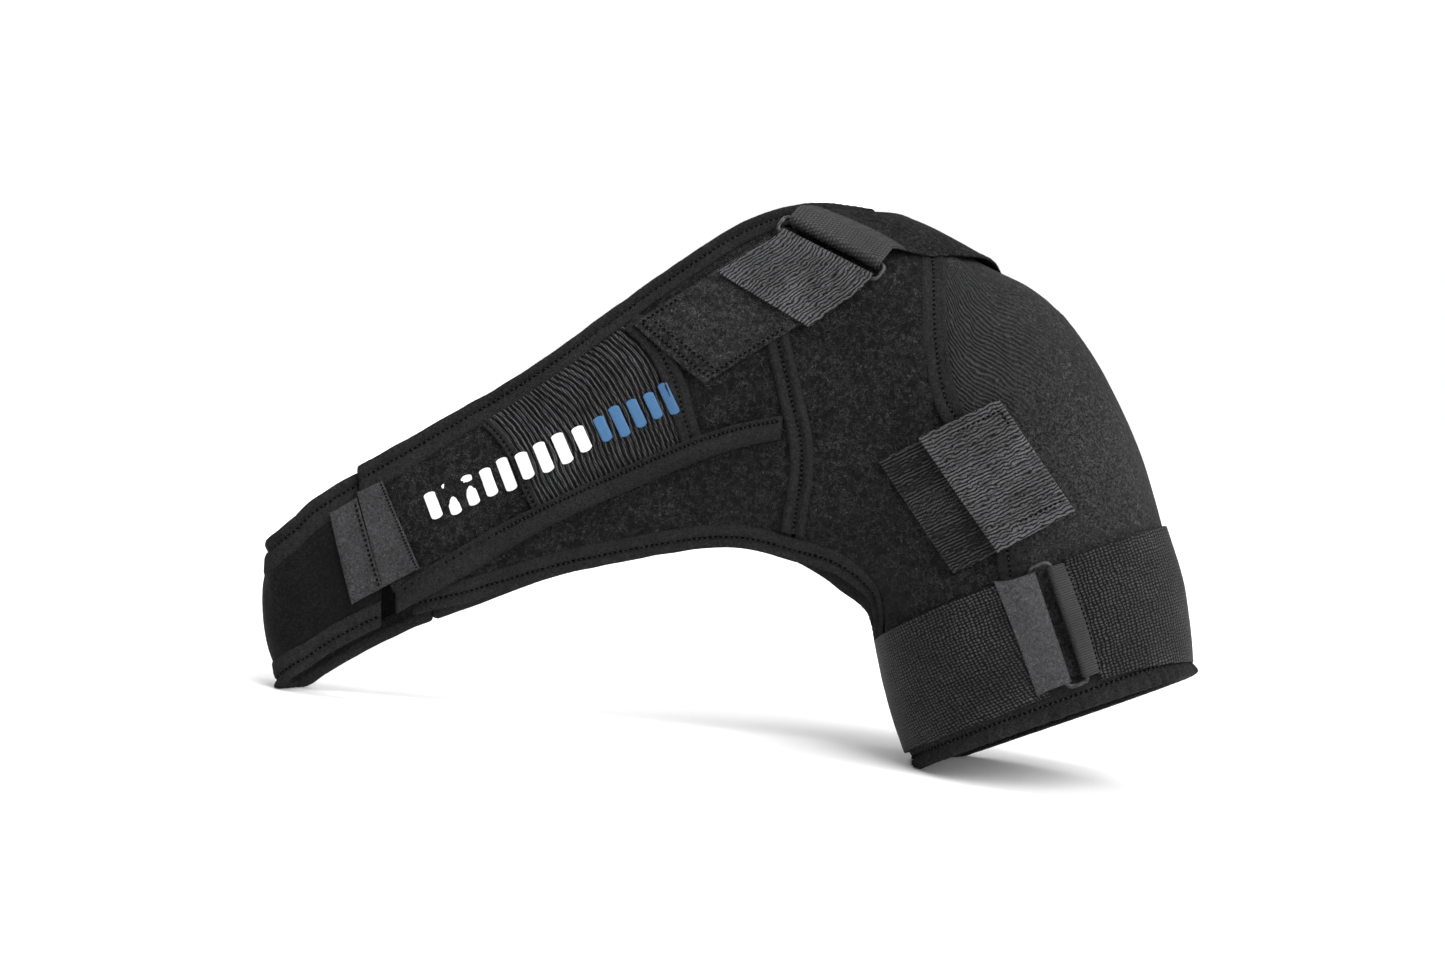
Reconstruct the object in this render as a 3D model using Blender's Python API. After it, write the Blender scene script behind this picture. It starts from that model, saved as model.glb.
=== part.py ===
"""Cold compression shoulder wrap: a chest band that folds round at its left end, a domed shoulder,
an upper-arm sleeve with an elastic strap, hook tabs, two strap rings and two gel packs in pockets.

The whole wrap is one soft form. A place on it has a knot number k, which runs from the fold at the left end
of the chest band (0) to the hem of the sleeve (14), and a section angle a, which runs round the section
from its inner edge (0) over the front to its outer edge (pi) and back behind (2 pi). Every sheet of the
wrap is a piece of this form, held between two heights above it.
"""

import bpy
import numpy as np

MM = 0.001

# Guides of the form, in millimetres: across and up, one point for each knot.
OUTER_EDGE = [(-213, 76), (-183, 102), (-136, 140), (-89, 178), (-40, 223), (4, 257), (42, 265), (80, 261),
              (118, 246), (154, 228), (193, 178), (216, 129), (228, 101), (236, 70), (239, 58)]
INNER_EDGE = [(-200, -1), (-172, 23), (-130, 45), (-84, 68), (-36, 86), (8, 97), (40, 93), (60, 87),
              (75, 77), (83, 68), (86, 61), (88, 55), (97, 30), (109, 5), (114, -2)]
HALF_DEPTH = [16, 19, 25, 32, 40, 47, 52, 55, 58, 59, 58, 56, 55, 54, 53]
FORWARD_TILT = [0.50, 0.46, 0.24, 0.11, 0.07, 0.06, 0.10, 0.17, 0.21, 0.21, 0.21, 0.21, 0.21, 0.21, 0.21]
BACKWARD_LEAN = 0.05
SECTION_POWER = 0.87
FOLD_END = 0.35
FOLD_BOW = 10 * MM
OPEN_EDGE_ANGLE = np.radians(34)
OPEN_TOP_ANGLE = np.radians(32)
NECK_CLOSES = (4.2, 6.6)
ARMPIT_CLOSES = (6.0, 10.6)
HEM_KNOT = 14.0
SOLE_RISE = 0.8 * MM
# The guides' place that becomes the world origin, under the middle of the wrap.
CENTRE = np.array([10.75, 4.54, 0]) * MM

# Sheet heights above the form, and widths, in millimetres.
PANEL = (-3.5, 0.0)
BINDING = (-4.6, 1.3)
TAPE = (0.45, 1.5)
ELASTIC_THICKNESS = 1.4
BINDING_WIDTH = 10
TAPE_WIDTH = 11
SEAM_GAP = 1.2

# Strap rings, in metres.
WIRE_RADIUS = 1.1 * MM
LOOP_INSIDE = 1.4 * MM
LOOP_OUTSIDE = 2.5 * MM
WEBBING_THICKNESS = (LOOP_OUTSIDE - LOOP_INSIDE) / MM
RING_HEIGHT = 4.7
TOP_BAR_SPACING = 9.5 * MM
ARM_BAR_SPACING = 10.5 * MM

BLACK = (0.012, 0.012, 0.013)
SMOOTH_BLACK = (0.016, 0.016, 0.017)
WEBBING_BLACK = (0.022, 0.022, 0.024)
FELT_GREY = (0.062, 0.062, 0.066)
RING_GREY = (0.16, 0.16, 0.17)
GEL_BLUE = (0.05, 0.22, 0.55)


def clear_scene():
    for obj in list(bpy.data.objects):
        bpy.data.objects.remove(obj, do_unlink=True)


# ---------------------------------------------------------------- the form

class Guide:
    """A natural cubic curve through one value, or one point, for each knot."""

    def __init__(self, values, knots=None):
        self.y = np.array(values, float)
        self.x = np.arange(len(self.y), dtype=float) if knots is None else np.array(knots, float)
        count = len(self.y)
        matrix = np.eye(count)
        right = np.zeros_like(self.y)
        step = np.diff(self.x)
        for i in range(1, count - 1):
            matrix[i, i - 1:i + 2] = (step[i - 1], 2 * (step[i - 1] + step[i]), step[i])
            right[i] = 6 * ((self.y[i + 1] - self.y[i]) / step[i] - (self.y[i] - self.y[i - 1]) / step[i - 1])
        self.bend = np.linalg.solve(matrix, right)

    def __call__(self, x):
        x = np.asarray(x, float)
        i = np.clip(np.searchsorted(self.x, x, side="right") - 1, 0, len(self.x) - 2)
        step = self.x[i + 1] - self.x[i]
        far = (x - self.x[i]) / step
        if self.y.ndim > 1:
            far = far[..., None]
            step = step[..., None]
        near = 1 - far
        curve = (near ** 3 - near) * self.bend[i] + (far ** 3 - far) * self.bend[i + 1]
        return near * self.y[i] + far * self.y[i + 1] + curve * step ** 2 / 6


outer_edge = Guide(np.array(OUTER_EDGE) * MM)
inner_edge = Guide(np.array(INNER_EDGE) * MM)
half_depth = Guide(np.array(HALF_DEPTH) * MM)
forward_tilt = Guide(FORWARD_TILT)


def ease(x):
    x = np.clip(x, 0, 1)
    return x * x * (3 - 2 * x)


def lerp(a, b, t):
    return a + (b - a) * t


def signed_power(x, power):
    return np.sign(x) * np.abs(x) ** power


def first_angle(k):
    start, end = ARMPIT_CLOSES
    return OPEN_EDGE_ANGLE * (1 - ease((k - start) / (end - start)))


def last_angle(k):
    start, end = NECK_CLOSES
    return np.pi - OPEN_TOP_ANGLE * (1 - ease((k - start) / (end - start)))


def across(k, a):
    """Share of the way from the inner edge to the outer edge."""
    def share(angle):
        return (1 - signed_power(np.cos(angle), SECTION_POWER)) / 2
    low = share(first_angle(k))
    return (share(a) - low) / (share(last_angle(k)) - low)


def form(q, a):
    """World places on the form. q is the knot number; below 0 it has passed through the fold to the back."""
    q, a = np.broadcast_arrays(np.asarray(q, float), np.asarray(a, float))
    turn = np.minimum(np.abs(q) / FOLD_END, 1) * np.pi / 2
    k = FOLD_END * (1 - np.cos(turn)) + np.maximum(np.abs(q) - FOLD_END, 0)
    k = np.minimum(k, HEM_KNOT)
    share = across(k, a)[..., None]
    flat = lerp(inner_edge(k), outer_edge(k), share)
    x = flat[..., 0] - FOLD_BOW * np.sin(a) ** 2 * np.cos(turn)
    depth = -np.sign(q) * np.sin(turn) * half_depth(k) * signed_power(np.sin(a), SECTION_POWER)
    return np.stack([x, depth + BACKWARD_LEAN * flat[..., 1], flat[..., 1] - forward_tilt(k) * depth], -1)


def unit(v):
    v = np.asarray(v, float)
    return v / np.linalg.norm(v, axis=-1, keepdims=True)


def form_normal(q, a):
    e = 1e-3
    along = form(q + e, a) - form(q - e, a)
    around = form(q, a + e) - form(q, a - e)
    return unit(np.cross(along, around))


def raised(q, a, height):
    """Places at a height in millimetres above the form. Those at the ground are pressed flat on it."""
    place = form(q, a) + form_normal(q, a) * np.asarray(height)[..., None] * MM
    place[..., 2] = np.where(place[..., 2] < SOLE_RISE, 0, place[..., 2])
    return place


def drape(x, z):
    """Knot numbers and angles of the front places seen straight on at x, z, in millimetres."""
    x, z = np.broadcast_arrays(np.asarray(x, float) * MM, np.asarray(z, float) * MM)
    grid_k, grid_a = np.meshgrid(np.linspace(0.3, 13.8, 136), np.radians(np.linspace(8, 172, 83)), indexing="ij")
    seen = form(grid_k, grid_a)[..., [0, 2]].reshape(-1, 2)
    wanted = np.stack([x.ravel(), z.ravel()], -1)
    nearest = ((wanted[:, None] - seen[None]) ** 2).sum(-1).argmin(1)
    k = grid_k.ravel()[nearest]
    a = grid_a.ravel()[nearest]
    e = 1e-4
    for _ in range(12):
        here = form(k, a)[:, [0, 2]]
        by_k = (form(k + e, a)[:, [0, 2]] - here) / e
        by_a = (form(k, a + e)[:, [0, 2]] - here) / e
        miss = wanted - here
        det = by_k[:, 0] * by_a[:, 1] - by_k[:, 1] * by_a[:, 0]
        k = k + np.clip((miss[:, 0] * by_a[:, 1] - miss[:, 1] * by_a[:, 0]) / det, -0.2, 0.2)
        a = a + np.clip((by_k[:, 0] * miss[:, 1] - by_k[:, 1] * miss[:, 0]) / det, -0.1, 0.1)
    return k.reshape(x.shape), a.reshape(x.shape)


# ---------------------------------------------------------------- building solids

def material(name, colour, roughness, metallic=0.0):
    made = bpy.data.materials.new(name)
    made.use_nodes = True
    shader = made.node_tree.nodes["Principled BSDF"]
    shader.inputs["Base Color"].default_value = (*colour, 1)
    shader.inputs["Roughness"].default_value = roughness
    shader.inputs["Metallic"].default_value = metallic
    return made


def add_object(name, points, faces, finish, pivot=None):
    """A mesh object whose origin is its pivot, a place on its joint's axis."""
    origin = CENTRE if pivot is None else np.asarray(pivot)
    mesh = bpy.data.meshes.new(name)
    mesh.from_pydata([tuple(p) for p in points - origin], [], faces)
    mesh.validate()
    obj = bpy.data.objects.new(name, mesh)
    obj.location = origin - CENTRE
    obj.data.materials.append(material(name, *finish))
    bpy.context.scene.collection.objects.link(obj)
    mesh.shade_smooth()
    mesh.set_sharp_from_angle(angle=np.radians(40))
    return obj


def faces_inward(low, high):
    """Whether the columns of a pair of grids must be turned round for its faces to look outward."""
    across = high[1:, 1:] - high[:-1, :-1]
    down = high[:-1, 1:] - high[1:, :-1]
    facing = np.cross(across, down)
    rise = (high - low)[:-1, :-1]
    return (facing * rise).sum() < 0


def solid_between(name, low, high, finish, pivot=None, closed=False):
    """A closed solid between two grids of the same shape. With closed, the first axis joins end to end."""
    if faces_inward(low, high):
        low, high = low[:, ::-1], high[:, ::-1]
    rows, columns = low.shape[:2]
    points = np.concatenate([low.reshape(-1, 3), high.reshape(-1, 3)])
    top = rows * columns
    steps = rows if closed else rows - 1
    faces = []

    def at(i, j, layer):
        return layer * top + (i % rows) * columns + j

    for i in range(steps):
        for j in range(columns - 1):
            faces.append((at(i, j, 1), at(i + 1, j, 1), at(i + 1, j + 1, 1), at(i, j + 1, 1)))
            faces.append((at(i, j, 0), at(i, j + 1, 0), at(i + 1, j + 1, 0), at(i + 1, j, 0)))
        for j, flip in ((0, False), (columns - 1, True)):
            wall = (at(i, j, 0), at(i + 1, j, 0), at(i + 1, j, 1), at(i, j, 1))
            faces.append(wall[::-1] if flip else wall)
    if not closed:
        for j in range(columns - 1):
            for i, flip in ((0, True), (rows - 1, False)):
                wall = (at(i, j, 0), at(i, j + 1, 0), at(i, j + 1, 1), at(i, j, 1))
                faces.append(wall[::-1] if flip else wall)
    return add_object(name, points, faces, finish, pivot)


def sheet(name, q, a, heights, finish, pivot=None):
    """A solid between two heights above the form, over a grid of knot numbers and angles."""
    low, high = heights
    return solid_between(name, raised(q, a, np.broadcast_to(low, q.shape)),
                         raised(q, a, np.broadcast_to(high, q.shape)), finish, pivot)


def grid(rows, columns):
    return np.meshgrid(np.linspace(0, 1, rows), np.linspace(0, 1, columns), indexing="ij")


def bilinear(corners, u, v):
    """Corners are at (u, v) = (0, 0), (1, 0), (1, 1) and (0, 1)."""
    c = np.array(corners, float)
    near = lerp(c[0], c[1], u[..., None])
    far = lerp(c[3], c[2], u[..., None])
    return lerp(near, far, v[..., None])


def turned(angle, side):
    """A section angle on the front, or the one straight behind it."""
    return angle if side > 0 else 2 * np.pi - angle


# ---------------------------------------------------------------- edges and seams on the form

def edge_share(k, width, top):
    """The share of a section's angle that a width in millimetres takes at its top or lower edge."""
    first, last = first_angle(k), last_angle(k)
    share = 0.08
    edge = last if top else first
    inside = lerp(last, first, share) if top else lerp(first, last, share)
    reach = np.linalg.norm(form(k, inside) - form(k, edge), axis=-1)
    return share * width * MM / reach


def lower_margin(k):
    return edge_share(k, BINDING_WIDTH, False) * (1 - ease((k - 10.4) / 0.6))


def top_margin(k):
    return edge_share(k, BINDING_WIDTH, True) * (1 - ease((k - 5.4) / 1.4))


def angle_at(k, share):
    return lerp(first_angle(k), last_angle(k), share)


# The front seam: its knot number at each angle, from the arch up to the neck.
FRONT_SEAM = Guide([5.89, 5.88, 5.79, 5.52, 5.30, 5.22, 5.36], np.radians([34, 58, 80, 92, 105, 125, 152]))
# The deltoid seam: its angle at each knot number, from the shoulder ridge down to the hem.
DELTOID_SEAM = Guide(np.radians([180, 158, 143, 124, 108, 100, 93, 88.5, 84.5, 86, 88]),
                     [7.05, 7.14, 7.25, 7.42, 7.67, 7.90, 8.40, 9.60, 10.9, 12.4, 14.0])
# The rolled lower edge of the front strap: its lower and upper angle at each knot number.
ROLL_KNOTS = [1.5, 2.0, 3.0, 4.0, 5.0, 5.9]
ROLL_LOW = Guide(np.radians([42, 51, 65, 70, 75, 81]), ROLL_KNOTS)
ROLL_HIGH = Guide(np.radians([59, 69, 77, 79, 82, 87]), ROLL_KNOTS)
STRAP_LEFT = (1.52, 1.16)
INSERT_LEFT = (2.98, 2.33)
INSERT_RIGHT = (4.48, 3.68)
SIDE_CUT = 1.38
BACK_JOIN = 1.9
CHEST_LEFT = 1.72


def seam_gap(width=SEAM_GAP):
    """A gap between neighbouring sheets, in knots."""
    return width / 42


# ---------------------------------------------------------------- panels

def loop_rows(start, end):
    """Loop places from behind the fold to the front, closer together round the fold."""
    return np.concatenate([np.linspace(start, -FOLD_END, 8), np.linspace(-0.26, 0.26, 6), np.linspace(FOLD_END, end, 6)])


def side_wrap():
    q, v = np.meshgrid(loop_rows(-BACK_JOIN, SIDE_CUT), np.linspace(0, 1, 7), indexing="ij")
    k = np.abs(q)
    share = lerp(lower_margin(k) + 0.008, 1 - top_margin(k) - 0.008, v)
    sheet("side_wrap", q, angle_at(k, share), PANEL, (SMOOTH_BLACK, 0.75))


def chest_panel():
    u, v = grid(18, 5)
    k = lerp(CHEST_LEFT, 5.85, u)
    low = angle_at(k, lower_margin(k) + 0.008)
    high = np.maximum(lerp(ROLL_LOW(k), ROLL_HIGH(k), 0.45), low + 0.04)
    a = lerp(low, high, v)
    k = lerp(CHEST_LEFT, FRONT_SEAM(a) - seam_gap(), u)
    sheet("chest_panel", k, a, PANEL, (BLACK, 0.95))


def strap_height(k):
    """The strap starts on top of the side wrap and comes down level with the shoulder panel."""
    return lerp(0.5, -2.9, ease((k - 1.6) / 1.2))


def strap_piece(name, left, right, finish, rows):
    u, v = grid(rows, 6)
    k = u * 0
    for _ in range(8):
        low = ROLL_HIGH(np.clip(k, 1.5, 5.9)) + 0.012
        high = angle_at(k, 1 - top_margin(k) - 0.008)
        a = lerp(low, high, v)
        k = lerp(left(v, a), right(v, a), u)
    base = strap_height(k)
    sheet(name, k, a, (base, base + 2.8), finish)


def front_strap():
    def slanted(ends, shift):
        return lambda v, a: lerp(ends[0], ends[1], v) + shift
    half = seam_gap() / 2
    strap_piece("front_strap_left", slanted(STRAP_LEFT, 0), slanted(INSERT_LEFT, -half), (BLACK, 0.95), 8)
    strap_piece("ribbed_insert", slanted(INSERT_LEFT, half), slanted(INSERT_RIGHT, -half), (WEBBING_BLACK, 0.85), 8)
    strap_piece("front_strap_right", slanted(INSERT_RIGHT, half), lambda v, a: FRONT_SEAM(a) - seam_gap(),
                (BLACK, 0.95), 8)



# Rows of the shoulder and deltoid panels, closer where the deltoid seam leaves the ridge.
SHOULDER_ROWS = [0, 0.07, 0.14, 0.20, 0.245, 0.272, 0.290, 0.31, 0.335, 0.37, 0.42, 0.48, 0.56, 0.66, 0.78, 0.9, 1]
DELTOID_ROWS = [7.16, 7.23, 7.30, 7.42, 7.60, 7.85, 8.2, 8.7, 9.2, 9.7, 10.2, 10.7, 11.2, 11.7, 12.3, 12.96]
SLEEVE_TOP = 11.1
PANELS_END = 12.96


def shoulder_panel(name, side):
    """From the chest seam over the arch to the sleeve, and out to the deltoid seam or the neck edge."""
    u, v = np.meshgrid(SHOULDER_ROWS, np.linspace(0, 1, 13), indexing="ij")
    k = u * 0 + 5.6
    for _ in range(12):
        low = angle_at(k, lower_margin(k) + 0.006)
        edge = angle_at(k, 1 - top_margin(k) - 0.014)
        high = np.where(k < 7.05, edge, np.minimum(DELTOID_SEAM(np.maximum(k, 7.05)) - 0.012, edge))
        a = lerp(low, high, v)
        k = lerp(FRONT_SEAM(a) + seam_gap(), SLEEVE_TOP - 0.02, u)
    sheet(name, k, turned(a, side), PANEL, (BLACK, 0.95))


def deltoid_panel():
    k, v = np.meshgrid(DELTOID_ROWS, np.linspace(0, 1, 17), indexing="ij")
    seam = DELTOID_SEAM(k) + 0.018
    sheet("deltoid_panel", k, lerp(seam, 2 * np.pi - seam, v), PANEL, (SMOOTH_BLACK, 0.8))


def sleeve_panel():
    u, v = grid(4, 17)
    k = lerp(SLEEVE_TOP, PANELS_END, u)
    seam = DELTOID_SEAM(k) - 0.010
    sheet("sleeve_panel", k, lerp(-seam, seam, v), PANEL, (BLACK, 0.95))


def back_chest_panel():
    u, v = grid(20, 8)
    k = u * 0 + 4
    for _ in range(8):
        a = angle_at(k, lerp(lower_margin(k) + 0.008, 1 - top_margin(k) - 0.008, v))
        k = lerp(BACK_JOIN + seam_gap(), FRONT_SEAM(a) - seam_gap(), u)
    sheet("back_chest_panel", k, 2 * np.pi - a, PANEL, (BLACK, 0.95))


# ---------------------------------------------------------------- bindings, hem and seam tapes

def edge_binding(name, start, end, top, rows, finish=(BLACK, 0.9)):
    """A folded strip over an open edge, from knot start to knot end; negative knots are behind the fold."""
    places = loop_rows(start, end) if start < 0 < end else np.linspace(start, end, rows)
    q, v = np.meshgrid(places, np.linspace(0, 1, 3), indexing="ij")
    k = np.abs(q)
    margin = top_margin(k) if top else lower_margin(k)
    share = lerp(1 - margin, 1, v) if top else lerp(0, margin, v)
    low, high = BINDING
    lift = strap_height(k) - strap_height(9.0) if name == "strap_top_binding" else 0
    sheet(name, q, angle_at(k, share), (low + lift, high + lift), finish)


def hem_binding():
    v, u = np.meshgrid(np.linspace(0, 2 * np.pi, 40, endpoint=False), np.linspace(0, 1, 3), indexing="ij")
    k = lerp(PANELS_END + 0.03, HEM_KNOT - 0.002, u)
    low = raised(k, -v, u * 0 + BINDING[0])
    high = raised(k, -v, u * 0 + BINDING[1])
    solid_between("cuff_hem_binding", low, high, (BLACK, 0.9), closed=True)


def beside(k, a, sideways):
    """Knots and angles of places at a distance in millimetres to the side of a line on the form."""
    e = 1e-3
    by_k = (form(k + e, a) - form(k - e, a)) / (2 * e)
    by_a = (form(k, a + e) - form(k, a - e)) / (2 * e)
    line = unit(np.gradient(form(k, a), axis=0))
    side = np.cross(form_normal(k, a), line) * np.asarray(sideways)[..., None] * MM
    kk, aa, ka = (by_k ** 2).sum(-1), (by_a ** 2).sum(-1), (by_k * by_a).sum(-1)
    sk, sa = (side * by_k).sum(-1), (side * by_a).sum(-1)
    det = kk * aa - ka ** 2
    return k + (sk * aa - sa * ka) / det, a + (sa * kk - sk * ka) / det


def seam_tape(name, k, a, finish=(BLACK, 0.85), width=TAPE_WIDTH, heights=TAPE):
    edges = [beside(k, a, np.full(len(k), s * width)) for s in (-0.5, 0.0, 0.5)]
    kk = np.stack([e[0] for e in edges], 1)
    aa = np.stack([e[1] for e in edges], 1)
    sheet(name, kk, aa, heights, finish)


def seam_tapes():
    for name, side in (("front_chest_seam_tape", 1), ("back_chest_seam_tape", -1)):
        angle = np.linspace(angle_at(5.88, lower_margin(5.88) + 0.03), angle_at(5.4, 1 - top_margin(5.4) - 0.05), 18)
        knots = FRONT_SEAM(angle)
        if side < 0:
            angle, knots = 2 * np.pi - angle, knots
        seam_tape(name, knots, angle)
    for name, side in (("front_deltoid_seam_tape", 1), ("back_deltoid_seam_tape", -1)):
        knots = np.concatenate([[7.17, 7.20, 7.24, 7.29, 7.35, 7.42, 7.52, 7.66, 7.86], np.linspace(8.1, PANELS_END - 0.06, 14)])
        seam_tape(name, knots, turned(DELTOID_SEAM(knots), side))


# ---------------------------------------------------------------- tabs, straps and rings

class Ring:
    """Where a strap ring lies: two bars along one line of the form, the first bar on the loop side."""

    def __init__(self, ends, height, spacing):
        low, high = [form(k, a) for k, a in ends]
        normals = [form_normal(k, a) for k, a in ends]
        self.along = unit(high - low)
        out = unit(normals[0] + normals[1])
        self.out = unit(out - self.along * np.dot(out, self.along))
        self.across = np.cross(self.along, self.out)
        self.centre = (low + high) / 2 + self.out * height * MM
        self.width = np.linalg.norm(high - low)
        share = np.linspace(0, 1, 9)[:, None]
        under = form(*lerp(np.array(ends[0]), np.array(ends[1]), share).T)
        self.centre += self.out * ((under - low) @ self.out - share[:, 0] * np.dot(high - low, self.out)).max()
        self.loop_bar = self.centre + self.across * spacing / 2
        self.free_bar = self.centre - self.across * spacing / 2
        self.spacing = spacing

    def wrap(self, bar, toward, t, angle, radius):
        """Places round a bar: t runs along it, angle 90 degrees is outward and 0 is toward the gap."""
        t, angle = np.broadcast_arrays(t, angle)
        turn = np.cos(angle)[..., None] * toward + np.sin(angle)[..., None] * self.out
        return bar + self.along * (t[..., None] - 0.5) * self.width + turn * radius


def strap_ring(name, ring, pivot):
    """A round wire bent into a rectangle with round corners."""
    corner = 3.0 * MM
    half_long = ring.width / 2 + 1.4 * MM + WIRE_RADIUS
    half_short = ring.spacing / 2
    centres = [(half_long - corner, half_short - corner, 0), (corner - half_long, half_short - corner, 90),
               (corner - half_long, corner - half_short, 180), (half_long - corner, corner - half_short, 270)]
    path = []
    for x, y, start in centres:
        for turn in np.radians(np.linspace(start, start + 90, 4)):
            path.append(((x + corner * np.cos(turn), y + corner * np.sin(turn)), (np.cos(turn), np.sin(turn))))
    sides = np.linspace(0, 2 * np.pi, 8, endpoint=False)
    points = []
    for (x, y), (outward_x, outward_y) in path:
        middle = ring.centre + ring.along * x + ring.across * y
        outward = ring.along * outward_x + ring.across * outward_y
        points.append([middle + WIRE_RADIUS * (np.cos(s) * outward + np.sin(s) * ring.out) for s in sides])
    points = np.array(points)
    rows, around = points.shape[:2]
    faces = [(i * around + j, ((i + 1) % rows) * around + j, ((i + 1) % rows) * around + (j + 1) % around,
              i * around + (j + 1) % around) for i in range(rows) for j in range(around)]
    return add_object(name, points.reshape(-1, 3), [f[::-1] for f in faces], (RING_GREY, 0.35), pivot)


def strap_end(low_sheet, high_sheet, ring, bar, toward, angles, hold):
    """Joins a draped sheet, whose last row is nearest the bar, to a wrap round the bar. hold is how far each
    row is drawn level with the bar."""
    columns = low_sheet.shape[1]
    t = np.linspace(0, 1, columns)[None, :]
    turn = np.radians(angles)[:, None]
    joined = []
    for places, radius in ((low_sheet, LOOP_INSIDE), (high_sheet, LOOP_OUTSIDE)):
        away = ((bar - places) @ toward)[..., None]
        level = ring.wrap(bar, toward, t, np.full_like(t, np.pi / 2), radius) - toward * away
        drawn = lerp(places, level, np.array(hold)[:, None, None])
        joined.append(np.concatenate([drawn, ring.wrap(bar, toward, t, turn, radius)]))
    return joined


ARM_RING_ENDS = [(12.79, np.radians(95.6)), (10.92, np.radians(92.4))]
TOP_RING_ENDS = [(6.58, np.radians(126.7)), (5.30, np.radians(145))]
STRAP_HEIGHTS = (1.9, 1.9 + ELASTIC_THICKNESS)
FLAP_LOW = 3.75
LOOP_TURNS = [100, 75, 50, 25, 0, -30, -60, -85]
FOLD_TURNS = [100, 80, 60, 40, 20, 0]


def arm_strap_top(a):
    """The strap's upper edge dips toward the armpit."""
    return 11.0 - 0.5 * (0.5 + 0.5 * np.cos(a)) ** 2


def arm_strap():
    u, v = grid(49, 5)
    k = v * 0 + 12
    for _ in range(4):
        share = (k - 11) / 1.84
        a = lerp(np.radians(100.5) + share * np.radians(3), np.radians(444) + share * np.radians(3.5), u)
        k = lerp(arm_strap_top(a), 12.84, v)
    sheet("arm_strap", k, a, STRAP_HEIGHTS, (WEBBING_BLACK, 0.85))


def along_bar(k_ends, a_ends, columns):
    """Knots and angles of a row that runs beside a ring's bar, from its lower end to its upper end."""
    t = np.linspace(0, 1, columns)
    return lerp(k_ends[0], k_ends[1], t), lerp(np.radians(a_ends[0]), np.radians(a_ends[1]), t)


def wrapped_piece(name, rows, height, hold, ring, bar, toward, turns, finish, columns=7, pivot=None):
    """A webbing piece: rows on the form at a height, drawn up to a bar, then a wrap round it."""
    lows, highs = [], []
    for k_ends, a_ends in rows:
        k, a = along_bar(k_ends, a_ends, columns)
        lows.append(raised(k, a, k * 0 + height))
        highs.append(raised(k, a, k * 0 + height + WEBBING_THICKNESS))
    low, high = strap_end(np.array(lows), np.array(highs), ring, bar, toward, turns, hold)
    return solid_between(name, low, high, finish, pivot)


def arm_closure(ring):
    loop_rows = [((12.81, 11.0), (104.6, 101.0)), ((12.80, 10.97), (102.6, 99.2))]
    wrapped_piece("arm_ring_loop", loop_rows, FLAP_LOW, (0, 0.8), ring, ring.loop_bar, -ring.across, LOOP_TURNS,
                  (WEBBING_BLACK, 0.8))
    strap_ring("arm_ring", ring, ring.loop_bar)
    tab_rows = [((12.83, 10.75), (83.8, 78.8)), ((12.82, 10.79), (85.4, 80.8)), ((12.81, 10.83), (87.0, 82.8)),
                ((12.80, 10.86), (88.4, 85.0))]
    wrapped_piece("arm_strap_tab", tab_rows, FLAP_LOW, (0, 0.1, 0.45, 0.85), ring, ring.free_bar, ring.across,
                  FOLD_TURNS, (FELT_GREY, 0.9), pivot=ring.free_bar)


def draped_rows(corners, rows, columns):
    """Knots and angles over a four-cornered patch given by its front-view corners in millimetres."""
    u, v = np.meshgrid(rows, np.linspace(0, 1, columns), indexing="ij")
    spot = bilinear(corners, u, v)
    return drape(spot[..., 0], spot[..., 1])


def draped_sheet(name, corners, rows, columns, heights, finish, pivot=None):
    k, a = draped_rows(corners, rows, columns)
    return sheet(name, k, a, heights, finish, pivot)


def top_closure(ring):
    base = [(-51.5, 199), (13, 252), (59.5, 235), (-14, 176)]
    draped_sheet("top_strap_base", base, np.linspace(0, 0.93, 13), 8, STRAP_HEIGHTS, (WEBBING_BLACK, 0.85))
    flap = [(-13, 228), (13, 252), (59.5, 235), (33, 208.5)]
    share = np.array([0, 0.15, 0.3, 0.45, 0.6, 0.72, 0.85])
    k, a = draped_rows(flap, share, 8)
    low, high = strap_end(raised(k, a, k * 0 + FLAP_LOW)[:, ::-1],
                          raised(k, a, k * 0 + FLAP_LOW + WEBBING_THICKNESS)[:, ::-1],
                          ring, ring.free_bar, ring.across, FOLD_TURNS, [0, 0, 0, 0.1, 0.35, 0.65, 0.95])
    solid_between("top_strap_flap", low, high, (WEBBING_BLACK, 0.8), ring.free_bar)
    strap_ring("top_ring", ring, ring.loop_bar)


YOKE_NECK_SIDE = Guide([(5.56, 2.66), (6.15, 2.83), (6.70, 3.04), (6.95, 3.40), (7.10, 3.95)],
                       [0, 0.22, 0.5, 0.75, 1])
YOKE_ARM_SIDE = Guide([(6.83, 2.38), (7.24, 2.49), (7.56, 2.65), (7.95, 2.97), (8.60, 3.95)],
                      [0, 0.22, 0.5, 0.75, 1])


def shoulder_yoke(ring):
    """The webbing that comes over the shoulder from behind and ends in the roll round the top ring."""
    share = np.concatenate([np.linspace(1, 0.1, 14), [0.05, 0]])
    t, across_yoke = np.meshgrid(share, np.linspace(0, 1, 9), indexing="ij")
    spot = lerp(YOKE_ARM_SIDE(t), YOKE_NECK_SIDE(t), across_yoke[..., None])
    k, a = spot[..., 0], spot[..., 1]
    base = k * 0 + STRAP_HEIGHTS[0]
    low, high = strap_end(raised(k, a, base), raised(k, a, base + WEBBING_THICKNESS),
                          ring, ring.loop_bar, -ring.across, LOOP_TURNS, [0] * 13 + [0.2, 0.55, 0.9])
    solid_between("shoulder_yoke", low, high, (BLACK, 0.9))


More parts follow.
